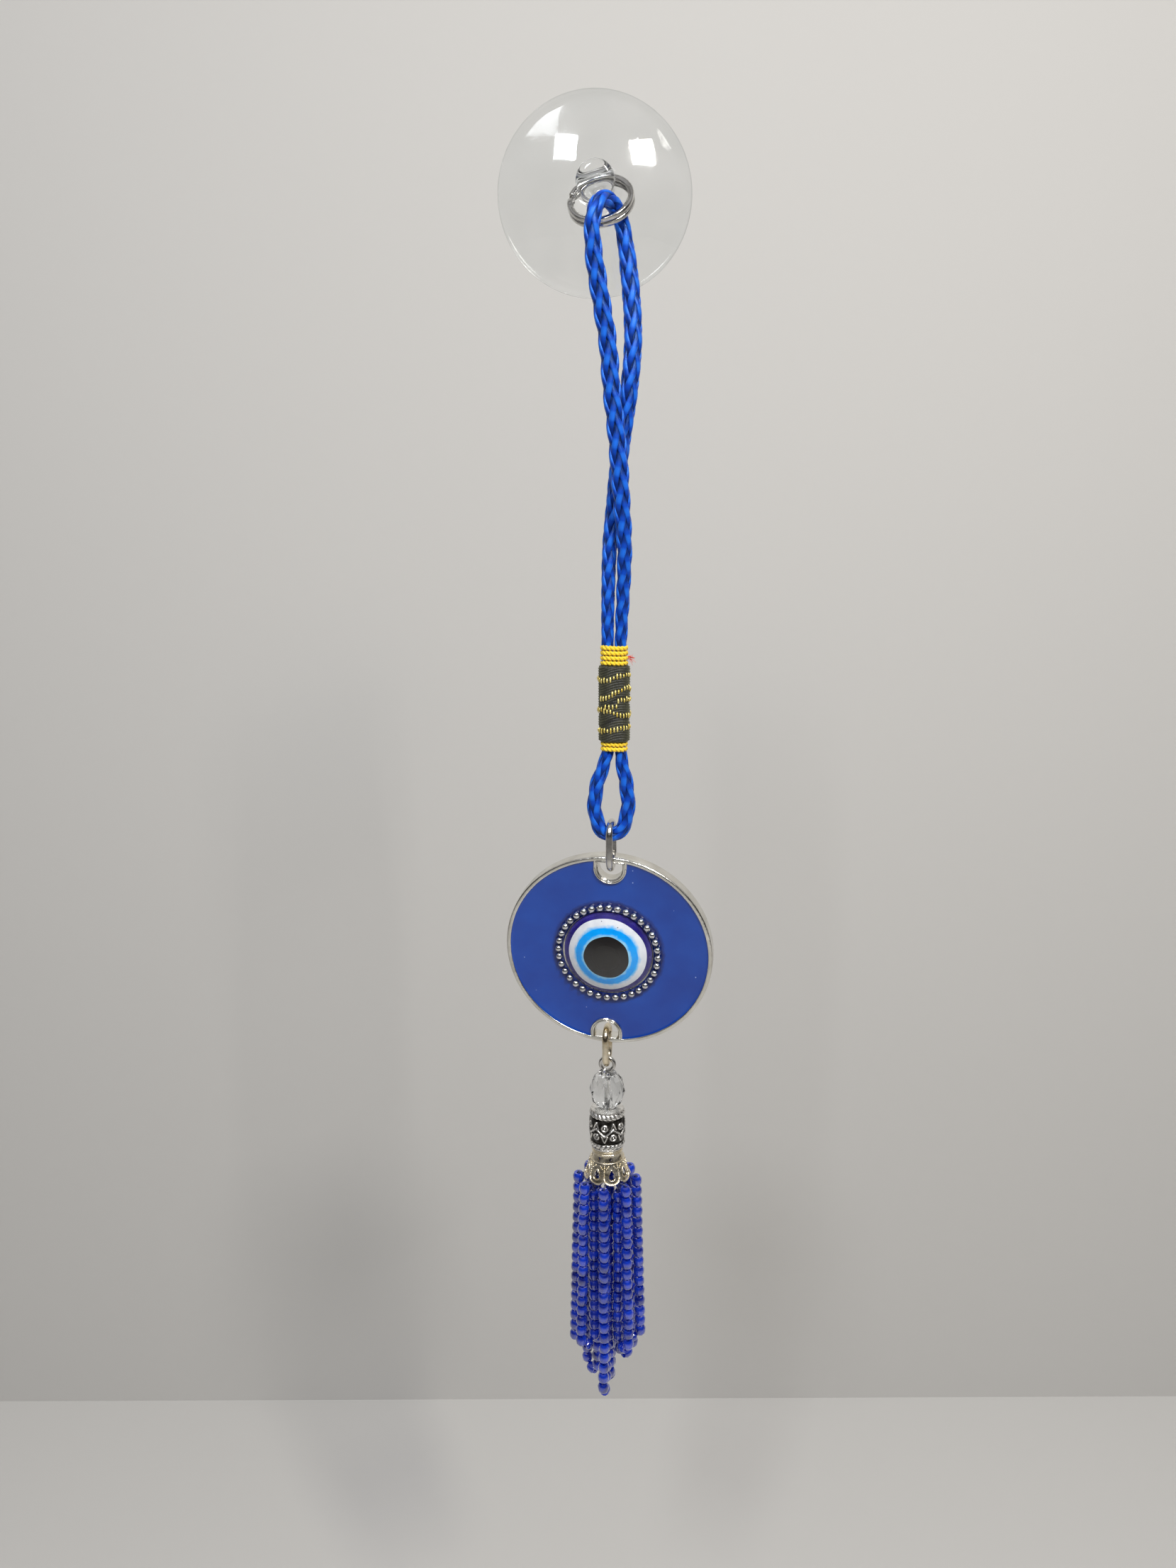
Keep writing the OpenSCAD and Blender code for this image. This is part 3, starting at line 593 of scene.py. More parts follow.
def woven_cord():
    heading, side, out = carried_frames(cord_line)
    share = cord_share(cord_line[:, 2])
    crossings = 2 * strands * cord_along / lay
    skins, heights = [], []
    sides = 8
    for hand in (1, -1):
        for k in range(strands):
            over = np.cos(np.pi / 2 * (crossings + 2 * k - 0.5)) if hand == 1 \
                else np.cos(np.pi / 2 * (2 * k - crossings - 2.5))
            turn = hand * 2 * np.pi * cord_along / lay + 2 * np.pi * k / strands + 0.3
            outward = np.cos(turn)[:, None] * side + np.sin(turn)[:, None] * out
            reach = (core_r + weave_r * over) * share
            middle = cord_line + flattened(outward * reach[:, None], cord_line[:, 2])
            along = unit(np.gradient(middle, axis=0))
            across = unit(np.cross(along, outward))
            lift = np.cross(across, along)
            width = strand_w * share * (0.9 + 0.1 * over)
            skins.append(tube(middle, across, lift, width, strand_t * share, sides))
            heights.append(np.repeat(0.5 + 0.5 * over, sides))
    return joined_skins("cord_braid", skins, cord_along[1], heights)


# %% Satin finish
def satin_blue():
    """Painted highlight on the crown of each stitch and painted shade where a strand dives under, with fine
    filaments.
    """
    satin = Finish("satin_blue", Roughness=0.36, Sheen_Weight=0.25, Sheen_Roughness=0.4,
                   Sheen_Tint=(0.2, 0.45, 1.0), Specular_Tint=(0.25, 0.5, 1.0), Specular_IOR_Level=0.75)
    height = satin.number("height")
    fibres = satin.grouped(FIBRES, satin.coords("UV"), Across=34.0, Along=0.45)
    # painted shade and highlight: near black where a strand dips under its neighbours, bright blue on each
    # crown, by the stored height
    shade = satin.ramp(height, [(0.0, (0.0004, 0.002, 0.025)), (0.55, (0.0015, 0.018, 0.17)),
                                (0.88, (0.003, 0.055, 0.46)), (1.0, (0.014, 0.15, 0.74))])
    darker = satin.mix(fibres, (0.25, 0.3, 0.45), (1.25, 1.2, 1.1))
    satin.colour(satin.mix(0.55, shade, darker, "MULTIPLY"))
    satin.bump(fibres, 0.06, 0.9)
    return satin.material


cord = as_piece(woven_cord(), "cord_braid", satin_blue(), "strap", ["braided_cord"])

# %% [markdown]
# ## The yellow whippings
# Two short whippings of twisted thread hold the strands together. A thread is two plies that turn round
# each other, and the whipping is a coil whose turns are flat ovals, since it goes round two cords side by
# side. The middle of the thread is worked out first, and the plies then wind round it.

# %% Twisted thread
def plied_thread(line, ply_r, turn_every, plies=2, sides=6):
    """Skins of the plies that wind round a line, all in mm."""
    _, side, out = carried_frames(line)
    along = np.r_[0, np.cumsum(np.linalg.norm(np.diff(line, axis=0), axis=1))]
    skins = []
    for k in range(plies):
        turn = 2 * np.pi * (along / turn_every + k / plies)
        middle = line + ply_r * 0.8 * (np.cos(turn)[:, None] * side + np.sin(turn)[:, None] * out)
        _, across, lift = carried_frames(middle)
        skins.append(tube(middle, across, lift, ply_r, ply_r, sides))
    return skins


def oval_coil(low, high, thread, first_turn=0.0):
    """The middle line of a thread wound between two corners of a box, in flat ovals, top to bottom."""
    middle = (low + high) / 2 / MM
    half = (high - low) / 2 / MM - Vector((thread / 2, thread / 2, thread / 2))
    bend = half.y
    turns = round((half.z * 2 + thread) / thread)
    count = turns * 64
    line = []
    for i in range(count + 1):
        turn = turns * i / count
        a = 2 * math.pi * (turn + first_turn)
        x = (half.x - bend) * max(-1, min(1, 1.7 * math.cos(a))) + bend * math.cos(a)
        step = max(0, (turn % 1 - 0.6) / 0.4)
        laid = min(turns - 1, int(turn) + step * step * (3 - 2 * step))
        rise = half.z * (1 - 2 * laid / (turns - 1))
        line.append((middle.x + x, middle.y + bend * math.sin(a), middle.z + rise + 0.07 * math.sin(2 * a)))
    return np.array(line)


def yellow_thread():
    thread = Finish("yellow_thread", Roughness=0.6, Sheen_Weight=0.3)
    fibres = thread.grouped(FIBRES, thread.coords("UV"), Across=14.0, Along=1.4)
    soil = thread.clouds(900.0, 0.0, 0.5)
    lit = thread.mix(fibres, (0.72, 0.42, 0.008), (1.0, 0.78, 0.02))
    thread.colour(thread.mix(soil, lit, (0.95, 0.62, 0.01)))
    thread.bump(fibres, 0.08)
    return thread.material


thread_finish = yellow_thread()


def whipping(node, first_turn):
    low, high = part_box(node)
    coil = oval_coil(low, high, 0.92, first_turn)
    mesh = joined_skins(node + "_thread", plied_thread(coil, 0.27, 1.5), 0.2)
    return as_piece(mesh, node + "_thread", thread_finish, "strap", [node])


whipping("yellow_wrap_top", 0.45)
whipping("yellow_wrap_bottom", 0.45)

# %% [markdown]
# ## The frayed red end
# A few loose filaments of red thread stick out beside the upper whipping. Each is a thin tapering tube on a
# line that bends away at random, from a seeded generator, so that every run gives the same tuft.

# %% Red filaments
def red_tuft():
    low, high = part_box("red_thread_tail")
    root = np.array((low.x / MM - 0.5, (low.y + high.y) / 2 / MM, (low.z + high.z) / 2 / MM))
    chance = random.Random(7)
    skins = []
    for _ in range(22):
        ahead = np.array((chance.uniform(1.2, 1.9), chance.uniform(-0.5, 0.3), chance.uniform(-0.8, 0.6)))
        droop = np.array((chance.uniform(-0.4, 0.1), 0, chance.uniform(-0.9, 0.3)))
        t = np.linspace(0, 1, 10)[:, None]
        line = root + ahead * t + droop * t**2
        _, side, out = carried_frames(line, (0, 1, 0.2))
        radius = 0.055 * (1 - 0.6 * t)
        skins.append(tube(line, side, out, radius, radius, 5))
    red = clouded("red_thread", 1500.0, (0.45, 0.01, 0.005), (0.85, 0.07, 0.02),
                  Roughness=0.7, Sheen_Weight=0.4)
    mesh = joined_skins("red_tuft", skins, 0.15)
    return as_piece(mesh, "red_tuft", red, "strap", ["red_thread_tail"])


red_tuft()

# %% [markdown]
# ## The brocade sleeve
# A strip of black brocade is rolled round the cords. Its ribs run across it and dip a little where the
# strip overlaps itself, and gold metal threads come to the surface as short upright floats in slanting
# rows. The cloth is one skin whose rings swell and sink with the ribs, and each float is a small tube laid
# on it.

# %% Ribbed cloth
sleeve_low, sleeve_high = (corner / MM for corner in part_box("brocade_sleeve"))
sleeve_mid = (sleeve_low + sleeve_high) / 2
sleeve_half = (sleeve_high - sleeve_low) / 2
rib_pitch = 0.47


def around_sleeve(share, height, proud=0.0):
    """A point on or off the sleeve, by its share of the way round from the front middle."""
    bend = sleeve_half.y
    run = sleeve_half.x - bend
    girth = 4 * run + 2 * math.pi * bend
    s = (share % 1.0) * girth
    if s < run:
        at, out = (s, -bend), (0, -1)
    elif s < run + math.pi * bend:
        a = (s - run) / bend - math.pi / 2
        at, out = (run + bend * math.cos(a), bend * math.sin(a)), (math.cos(a), math.sin(a))
    elif s < 3 * run + math.pi * bend:
        at, out = (run - (s - run - math.pi * bend), bend), (0, 1)
    elif s < 3 * run + 2 * math.pi * bend:
        a = (s - 3 * run - math.pi * bend) / bend + math.pi / 2
        at, out = (-run + bend * math.cos(a), bend * math.sin(a)), (math.cos(a), math.sin(a))
    else:
        at, out = (s - girth, -bend), (0, -1)
    return (sleeve_mid.x + at[0] + out[0] * proud, sleeve_mid.y + at[1] + out[1] * proud, height)


def slant(share):
    """How far the ribs climb at a place round the sleeve."""
    return 0.5 * math.sin(2 * math.pi * (share + 0.1)) + 0.25 * math.sin(4 * math.pi * share + 1)


def cloth_depth(share, height):
    rib = abs(math.sin(math.pi * (height - slant(share)) / rib_pitch))
    warp = math.sin(2 * math.pi * share * 46)
    fold = 0.16 * math.exp(-((height - slant(share) * 2.2 - sleeve_mid.z + 0.4) / 0.35) ** 2)
    low_fold = 0.14 * math.exp(-((height - slant(share) * 1.6 - sleeve_low.z - 3.6) / 0.3) ** 2)
    return -0.20 + 0.12 * rib + 0.03 * warp * rib - fold - low_fold


def sleeve_cloth():
    rings, around = 200, 144
    rows, depth = [], []
    for i in range(rings + 1):
        height = sleeve_low.z + (sleeve_high.z - sleeve_low.z) * i / rings
        hem = 0.35 * max(0, 1 - min(i, rings - i) / 6) ** 2
        for k in range(around):
            share = k / around
            sunk = cloth_depth(share, height)
            rows.append(around_sleeve(share, height, sunk - hem))
            depth.append(sunk)
    rows = np.array(rows).reshape(rings + 1, around, 3)
    inner = sleeve_mid[:2] + (rows[[-1, 0], :, :2] - sleeve_mid[:2]) * 0.72
    lips = np.concatenate([inner, rows[[-1, 0], :, 2:]], axis=2)
    closed = np.concatenate([lips[1:], rows, lips[:1]])
    depth = [depth[0]] * around + depth + [depth[-1]] * around
    return joined_skins("sleeve_cloth", [skin(closed, capped=False)], 0.07, [np.array(depth)])


def black_brocade():
    cloth = Finish("black_brocade", Roughness=0.55, Sheen_Weight=0.5, Sheen_Tint=(0.5, 0.5, 0.3))
    # painted shade: the cloth goes near black in its rib troughs and folds and stays olive on the rib crowns,
    # by the stored depth
    painted_rib_shade = cloth.math("MULTIPLY_ADD", cloth.number("height"), 6.0, 1.25)
    olive = cloth.mix(cloth.clouds(1400.0), (0.010, 0.010, 0.006), (0.05, 0.05, 0.026))
    cloth.colour(cloth.mix(painted_rib_shade, (0.002, 0.002, 0.0015), olive))
    cloth.bump(cloth.clouds(2600.0), 0.05)
    return cloth.material


as_piece(sleeve_cloth(), "sleeve_cloth", black_brocade(), "strap", ["brocade_sleeve"])

# %% Gold floats
def gold_floats():
    """Rows of short upright dashes: each has its height, wave, first and last place round, and step."""
    rows = [(-2.1, 0.55, -0.26, 0.24, 0.036), (-5.0, 1.0, -0.16, 0.30, 0.034), (-6.3, 0.2, 0.04, 0.30, 0.034),
            (-7.3, 0.15, -0.10, 0.05, 0.040), (-8.6, -0.55, -0.26, 0.26, 0.036),
            (-11.6, 0.35, -0.22, 0.24, 0.036), (-3.6, 0.7, 0.32, 0.68, 0.036),
            (-7.6, -0.6, 0.34, 0.68, 0.036), (-10.8, 0.5, 0.32, 0.68, 0.036)]
    chance = random.Random(11)
    swell = np.linspace(-1, 1, 7)
    dash_w = 0.17 * np.sqrt(1.05 - swell**2 * 0.8)
    dash_t = 0.6 * dash_w
    skins = []
    for height, wave, start, end, step in rows:
        for share in np.arange(start, end, step):
            rise = wave * math.sin(2 * math.pi * share * 1.6) + chance.uniform(-0.12, 0.12)
            middle = sleeve_high.z + height + rise
            half = chance.uniform(0.35, 0.6)
            line = np.array([around_sleeve(share, middle + half * t, 0.06 - 0.16 * t * t) for t in swell])
            out = unit(np.array(around_sleeve(share, 0, 1)) - np.array(around_sleeve(share, 0, 0)))
            skins.append(tube(line, np.cross(out, (0, 0, 1)), out, dash_w, dash_t, 6))
    gold = clouded("gold_lame", 1200.0, (0.62, 0.44, 0.05), (1.0, 0.86, 0.32), Metallic=0.55, Roughness=0.35)
    mesh = joined_skins("gold_floats", skins, 0.15)
    return as_piece(mesh, "gold_floats", gold, "strap")


gold_floats()

# %% [markdown]
# ## The suction cup
# The cup is one moulding of clear vinyl: a thin dome with a hollow under it, a rounded lip and a thick
# knob. All of it is round about one axis, so one profile is turned round that axis, and the hole for the
# ring is drilled across the knob afterwards. Arcs keep the dome and the fillets smooth, because clear
# plastic shows every flat.

# %% Cup profile
cup_low, cup_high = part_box("suction_cup")
cup_r = (cup_high.z - cup_low.z) / 2 / MM
knob_tip = -cup_low.y / MM
lip_t, cup_rise, lip_w, hollow_rise, knob_r, knob_hole_r = 0.5, 3.6, 1.3, 2.1, 3.4, 1.95
hole_reach = -joint_place("ring_tilt").y / MM


def dome_arc(rim_r, low, rise, start_r, steps):
    """Points on a shallow dome, from a radius outwards to its rim."""
    ball = (rim_r**2 + rise**2) / (2 * rise)
    radii = [start_r + (rim_r - start_r) * i / steps for i in range(steps + 1)]
    return [(r, low + rise - ball + math.sqrt(ball**2 - r**2)) for r in radii]


def suction_cup():
    knob = [(0, knob_tip), (1.9, knob_tip), *arc((2.0, knob_tip - 1.4), 1.4, 80, 0, 8)]
    neck = arc((knob_r + 1.6, 6.0), 1.6, 180, 250, 8)
    outside = dome_arc(cup_r - 0.15, lip_t, cup_rise, neck[-1][0] + 0.3, 24)
    lip = arc((cup_r - 0.25, lip_t / 2), lip_t / 2, 80, -90, 8)
    hollow = dome_arc(cup_r - lip_w, 0, hollow_rise, 0, 20)[::-1]
    bm = bmesh.new()
    lathe(bm, [*knob, *neck, *outside, *lip, *hollow], 96)
    across = Matrix.Translation((0, 0, hole_reach * MM)) @ Matrix.Rotation(math.radians(90), 4, "Y")
    mesh = combined(mesh_of(bm), [rod_mesh(knob_hole_r, -6, 6, 48, across)])
    vinyl = clouded("clear_vinyl", 90.0, (0.91, 0.93, 0.93), (0.98, 0.99, 0.99), (160.0, 0.02, 0.10),
                    (120.0, 0.05, 0.5), (0.94, 0.95, 0.96), IOR=1.5, Transmission_Weight=1.0)
    return finish_piece(as_bm(mesh), "cup_vinyl", vinyl, "cup", cup_place, 34, ["suction_cup"])


suction_cup()

# %% [markdown]
# ## Wires
# The split ring, both jump rings and the eye pin are bent wire. Each has a middle line, and the same helper
# puts a skin round it. A ring that closes on itself has its two cut ends butted with a hair's breadth
# between them, which is how real jump rings are shut.

# %% Wire tool
def wire_rows(line, first, half_w, half_t, sides=16, square=1.0):
    """Rings of points round a line: an ellipse, or with a smaller `square` a rounded rectangle."""
    _, side, out = carried_frames(np.array(line), first)
    a = np.linspace(0, 2 * np.pi, sides, endpoint=False)
    flat = np.sign(np.cos(a)) * np.abs(np.cos(a))**square * half_w
    tall = np.sign(np.sin(a)) * np.abs(np.sin(a))**square * half_t
    rows = (np.array(line)[:, None, :] + flat[None, :, None] * side[:, None, :]
            + tall[None, :, None] * out[:, None, :])
    ends = []
    for row in (rows[0], rows[-1]):
        ends.append(row.mean(axis=0) + (row - row.mean(axis=0)) * 0.8)
    rows[0] += (rows[1] - rows[0]) * 0.3
    rows[-1] += (rows[-2] - rows[-1]) * 0.3
    start = ends[0] - (rows[1] - rows[0]).mean(axis=0) * 0.2
    finish = ends[1] + (rows[-1] - rows[-2]).mean(axis=0) * 0.2
    return np.concatenate([[start], rows, [finish]])


def polished_steel(name, warm=(0.80, 0.79, 0.77), worn=(0.55, 0.53, 0.50)):
    """Bright plated wire with soft stains and fine drawn lines."""
    return clouded(name, 420.0, worn, warm, (700.0, 0.08, 0.24), (2500.0, 0.015), Metallic=1.0)


ring_finish = polished_steel("ring_steel")
print("wire tools ready")

# %% [markdown]
# ## The split ring
# A split ring is one flat wire wound twice round, with a short crank where it steps from one coil to the
# other. It hangs through the knob's hole and carries the cord at its lowest point, so those two joints give
# its frame.

# %% Split ring
def split_ring():
    top, low = joint_place("ring_tilt"), joint_place("strap_swing")
    ring_r, coil_w, coil_step = 5.35, 0.88, 1.0
    place = placed(hole_axis, top - low, low + (top - low).normalized() * ring_r * MM)
    line = []
    steps = 288
    for i in range(steps + 1):
        turn = 2 * i / steps
        crank = min(1, max(0, (turn - 0.94) / 0.12))
        rise = coil_step * (crank * crank * (3 - 2 * crank) - 0.5)
        a = math.radians(150 + 360 * turn * 0.997)
        line.append((ring_r * math.cos(a), ring_r * math.sin(a), rise))
    rows = wire_rows(line, (-0.87, 0.5, 0), 0.5, coil_w / 2, 16, 0.55)
    mesh = joined_skins("split_ring_wire", [skin(rows)], 0.12)
    mesh.transform(place)
    return as_piece(mesh, "split_ring_wire", ring_finish, "ring", ["split_ring"])


split_ring()

# %% [markdown]
# ## The jump rings
# Two oval rings of round wire join the cord to the pendant and the pendant to the pin. The joint at the top
# of each ring is the middle of its upper bend, and its axis is square to the ring.

# %% Jump rings
def oval_ring(name, node, body, top_joint, height, wire, finish):
    bend = 1.8 + wire / 2
    run = height - 2 * bend - wire
    steps = 30
    line = [(bend * math.sin(a), 0, bend * math.cos(a)) for a in
            (math.radians(90 - 180 * i / steps) for i in range(steps + 1))]
    line += [(-bend * math.cos(b), 0, -run - bend * math.sin(b)) for b in
             (math.radians(180 * i / steps) for i in range(steps + 1))]
    line.append((bend, 0, -0.06))
    rows = wire_rows(line, (0, 1, 0), wire / 2, wire / 2, 20)
    mesh = joined_skins(name, [skin(rows)], 0.2)
    normal = joint_axis(top_joint)
    across = UP.cross(normal)
    place = Matrix.Translation(joint_place(top_joint)) @ Matrix((across, -normal, UP)).transposed().to_4x4()
    mesh.transform(place)
    return as_piece(mesh, name, finish, body, [node])


warm_steel = polished_steel("warm_steel", (0.93, 0.86, 0.70), (0.60, 0.46, 0.26))
oval_ring("upper_ring_wire", "upper_jump_ring", "top_link", "top_link_swing", 10.2, 1.3, ring_finish)
oval_ring("lower_ring_wire", "lower_jump_ring", "bottom_link", "bottom_link_swing", 9.0, 1.25, warm_steel)

# %% [markdown]
# ## The pendant's casting
# The pendant is a cast and plated tray with a rounded rim, and a D-shaped hole at its top and bottom with a
# raised border. The tray is turned on a lathe. A loft through a few D outlines makes both the border's
# block and the drill for the hole, whose mouths flare a little, so that the hole has soft edges.

# %% Outlines of the hanging holes
half_t, rim_w, tray_z, enamel_top = 1.45, 0.85, 0.35, 1.20
hole_w, hole_h, bar_t, border = 4.8, 3.6, 1.1, 0.8
bar_drop = math.sqrt(1.8**2 - half_t**2) - bar_t / 2 - 0.1    # from a link's hinge to the bar it carries
pendant_r = (disc_top - disc_low).length / 2 / MM - bar_drop + bar_t / 2


def d_outline(grow, steps=28):
    """The D of a hanging hole in the disc's plane, made larger all round; its flat side is at the rim."""
    bend = hole_w / 2
    middle = pendant_r - bar_t - hole_h + bend
    flat = pendant_r - bar_t + grow
    points = [((bend + grow) * math.cos(a), middle + (bend + grow) * math.sin(a)) for a in
              (math.radians(180 + 180 * i / steps) for i in range(steps + 1))]
    corner = 0.5
    return [*points, *arc((bend + grow - corner, flat - corner), corner, 0, 90, 5),
            *arc((-bend - grow + corner, flat - corner), corner, 90, 180, 5)]


def d_loft(levels, half_turn):
    """A solid through D outlines, each level a height and how much its outline is grown."""
    bm = bmesh.new()
    loops = []
    for height, grow in levels:
        ring = [bm.verts.new((x * MM, y * MM, height * MM)) for x, y in d_outline(grow)]
        loops.append([bm.edges.new((a, b)) for a, b in zip(ring, ring[1:] + ring[:1])])
    for lower, upper in zip(loops, loops[1:]):
        bmesh.ops.bridge_loops(bm, edges=lower + upper)
    bmesh.ops.holes_fill(bm, edges=loops[0] + loops[-1], sides=0)
    bmesh.ops.rotate(bm, verts=bm.verts, matrix=Matrix.Rotation(math.radians(half_turn), 3, "Z"))
    return mesh_of(bm)


print("pendant radius in mm:", round(pendant_r, 2))

# %% Tray, border and holes
plated = clouded("bright_nickel", 260.0, (0.60, 0.58, 0.52), (0.86, 0.85, 0.80), (900.0, 0.07, 0.26),
                 (1500.0, 0.03), Metallic=1.0)


def casting():
    tray_r = pendant_r - rim_w
    edge = 0.35
    back = [(0, -half_t + 0.5), (tray_r - 0.9, -half_t + 0.5), (tray_r - 0.55, -half_t)]
    rim_low = arc((pendant_r - edge, -half_t + edge), edge, -90, 0, 6)
    rim_top = arc((pendant_r - edge, half_t - edge), edge, 0, 90, 6)
    inner = arc((tray_r + 0.22, half_t - 0.22), 0.22, 90, 180, 5)
    floor = [(tray_r, tray_z), (0, tray_z)]
    disc = bmesh.new()
    lathe(disc, [*back, *rim_low, *rim_top, *inner, *floor], 180)
    body = mesh_of(disc)
    blocks, drills = [], []
    for half_turn in (0, 180):
        blocks.append(d_loft([(-half_t, border - 0.15), (-half_t + 0.15, border), (half_t - 0.15, border),
                              (half_t - 0.02, border - 0.15)], half_turn))
        drills.append(d_loft([(-half_t - 0.6, 0.7), (-half_t + 0.25, 0), (half_t - 0.25, 0),
                              (half_t + 0.6, 0.7)], half_turn))
    body = combined(combined(body, blocks, "UNION"), drills)
    return finish_piece(as_bm(body), "pendant_tray", plated, "pendant", disc_place, 32,
                        ["pendant_casting"])


casting()

# %% Bright double border
def border_beads():
    """Two thin raised lines round each hole, on the block's face."""
    skins = []
    for half_turn in (0, 180):
        for grow, thick in ((0.28, 0.17), (0.64, 0.15)):
            points = [p for p in d_outline(grow) if p[1] < pendant_r - bar_t + 0.1]
            turn = math.radians(half_turn)
            line = [(x * math.cos(turn) - y * math.sin(turn), x * math.sin(turn) + y * math.cos(turn), half_t)
                    for x, y in points]
            skins.append(skin(wire_rows(line, (0, 0, 1), thick, thick, 10)))
    mesh = joined_skins("hole_borders", skins, 0.3)
    mesh.transform(disc_place)
    return as_piece(mesh, "hole_borders", plated, "pendant")


border_beads()

# %% [markdown]
# ## Enamel
# The tray is filled with glossy blue enamel. It was poured, so it creeps up a little wherever it meets
# metal. A profile with raised ends gives that, turned round the middle, and the blocks of the hanging holes
# cut it.

# %% Blue enamel
circle_r, ball_r = 9.8, 0.70          # of the ring of balls, and of one ball
ball_shade_r = circle_r + 0.576              # where the painted shade round the balls is deepest


def blue_enamel():
    enamel = Finish("blue_enamel", Roughness=0.10, Coat_Weight=0.3, Coat_Roughness=0.04)
    cloud = enamel.clouds(120.0)
    base = enamel.mix(cloud, (0.002, 0.036, 0.27), (0.004, 0.056, 0.35))
    # painted shade: the enamel is darkened round and under the ring of balls, ragged at its outer edge
    near = enamel.number("halo")
    ragged = enamel.math("ADD", near, enamel.math("MULTIPLY", enamel.clouds(650.0), 0.35))
    halo = enamel.ramp(ragged, [(0.30, (1, 1, 1)), (0.65, (0.60, 0.60, 0.68)),
                              (1.0, (0.22, 0.22, 0.35))])
    shaded = enamel.mix(1.0, base, halo, "MULTIPLY")
    dust = enamel.grouped(SPECKS, enamel.coords(), Scale=900.0, Size=0.10, Share=0.05)
    enamel.colour(enamel.mix(dust, shaded, (0.35, 0.5, 0.75)))
    enamel.roughness(enamel.clouds(500.0, 0.05, 0.16))
    enamel.bump(enamel.clouds(70.0), 0.10, 0.6)
    return enamel.material


def enamel():
    tray_r = pendant_r - rim_w
    seat_r = 8.86
    inner = [(seat_r, tray_z), (seat_r, enamel_top - 0.02), (seat_r + 0.19, enamel_top - 0.18)]
    halo = [(seat_r + 0.44 + 0.24 * i, enamel_top - 0.12 + 0.007 * i) for i in range(11)]
    outer = [(tray_r - 0.5, enamel_top - 0.05), (tray_r - 0.15, enamel_top),
             (tray_r + 0.02, enamel_top + 0.10), (tray_r + 0.02, tray_z)]
    bm = bmesh.new()
    lathe(bm, [*inner, *halo, *outer, inner[0]], 180)
    blocks = [d_loft([(0, border), (half_t, border)], half_turn) for half_turn in (0, 180)]
    mesh = combined(mesh_of(bm), blocks)
    bm = as_bm(mesh)
    # how strong the painted shade round the balls is at each point
    near = bm.verts.layers.float.new("halo")
    for vert in bm.verts:
        vert[near] = max(0, min(1.6, 1 - (vert.co.xy.length / MM - ball_shade_r) / 1.1))
    return finish_piece(bm, "enamel_pool", blue_enamel(), "pendant", disc_place, 32, ["enamel_fill"])


enamel()

# %% [markdown]
# ## The ring of balls
# Thirty-six chromed balls stand close together round the eye, half sunk in the enamel. One ball is made
# with create_uvsphere and the loop turns the same few vertices round the disc for each of the others.

# %% Ball bezel
def ball_bezel():
    ball_count = 36
    bm = bmesh.new()
    for k in range(ball_count):
        ball = bmesh.ops.create_uvsphere(bm, u_segments=20, v_segments=14, radius=ball_r * MM)["verts"]
        bmesh.ops.translate(bm, verts=ball, vec=(circle_r * MM, 0, (enamel_top + 0.28) * MM))
        bmesh.ops.rotate(bm, verts=ball, matrix=Matrix.Rotation(2 * math.pi * k / ball_count, 3, "Z"))
    chrome = clouded("ball_chrome", 1100.0, (0.55, 0.55, 0.57), (0.88, 0.88, 0.90), (900.0, 0.03, 0.12),
                     Metallic=1.0)
    return finish_piece(bm, "ball_bezel", chrome, "pendant", disc_place, 40, ["beaded_bezel"])


ball_bezel()

# %% [markdown]
# ## The eye
# The eye is a stack of coloured resin poured one on another, each smaller and higher on the same dome,
# under a thin clear coat. Hand-poured edges are never true circles, so both layers that meet at an edge
# share one slightly wavy radius, worked out from the angle.

# %% Layers of the dome
eye_r, eye_rise, coat_t = 8.88, 2.6, 0.35
eye_z = half_t + 0.05
dome_r = (eye_r**2 + eye_rise**2) / (2 * eye_rise)
dome_c = eye_z + eye_rise - dome_r
layer_r = dome_r - coat_t


def on_dome(r, ball=layer_r):
    return dome_c + math.sqrt(ball**2 - r**2)


def wavy(r, angle):
    """A poured edge's radius at an angle."""
    if r in (0, eye_r):
        return r
    return r + 0.06 * math.sin(3 * angle + r) + 0.03 * math.sin(7 * angle + 2.3 * r)


def eye_layer(name, node, material, outer_r, inner_r, foot=None, steps=10):
    """A zone of the dome from one poured edge to the next, with a wall under its outer edge."""
    bm = bmesh.new()
    limit = min(outer_r, math.sqrt(layer_r**2 - (eye_z - dome_c - 0.2)**2))
    radii = [limit + (inner_r - limit) * i / steps for i in range(steps + 1)]
    low = on_dome(limit) - 0.35 if foot is None else foot
    lathe(bm, [(0, low), (limit, low), *((r, on_dome(r)) for r in radii), *([] if inner_r == 0 else
               [(inner_r, on_dome(inner_r) - 0.3), (0, on_dome(inner_r) - 0.3)])], 144)
    for vert in bm.verts:
        r = vert.co.xy.length / MM
        if r < 0.01:
            continue
        angle = math.atan2(vert.co.y, vert.co.x)
        share = (r - inner_r) / (limit - inner_r) if r >= inner_r else 0
        edge_out, edge_in = wavy(outer_r, angle) - outer_r, wavy(inner_r, angle) - inner_r
        moved = r + edge_in + (edge_out - edge_in) * share
        on_top = abs(vert.co.z / MM - on_dome(r)) < 0.01
        vert.co.xy *= moved / r
        if on_top:
            vert.co.z = on_dome(moved) * MM
    return finish_piece(bm, name, material, "pendant", disc_place, 40, [node])


eye_middle = disc_place @ Vector((0, 0, on_dome(0) * MM))


def from_eye_middle(finish):
    """The distance from the top of the eye, in mm, as a socket."""
    moved = finish.node("Mapping", {"Vector": finish.coords(), "Location": -eye_middle}, vector_type="POINT")
    reach = finish.node("VectorMath", {0: moved.outputs[0]}, operation="LENGTH")
    return finish.math("MULTIPLY", reach.outputs["Value"], 1 / MM)


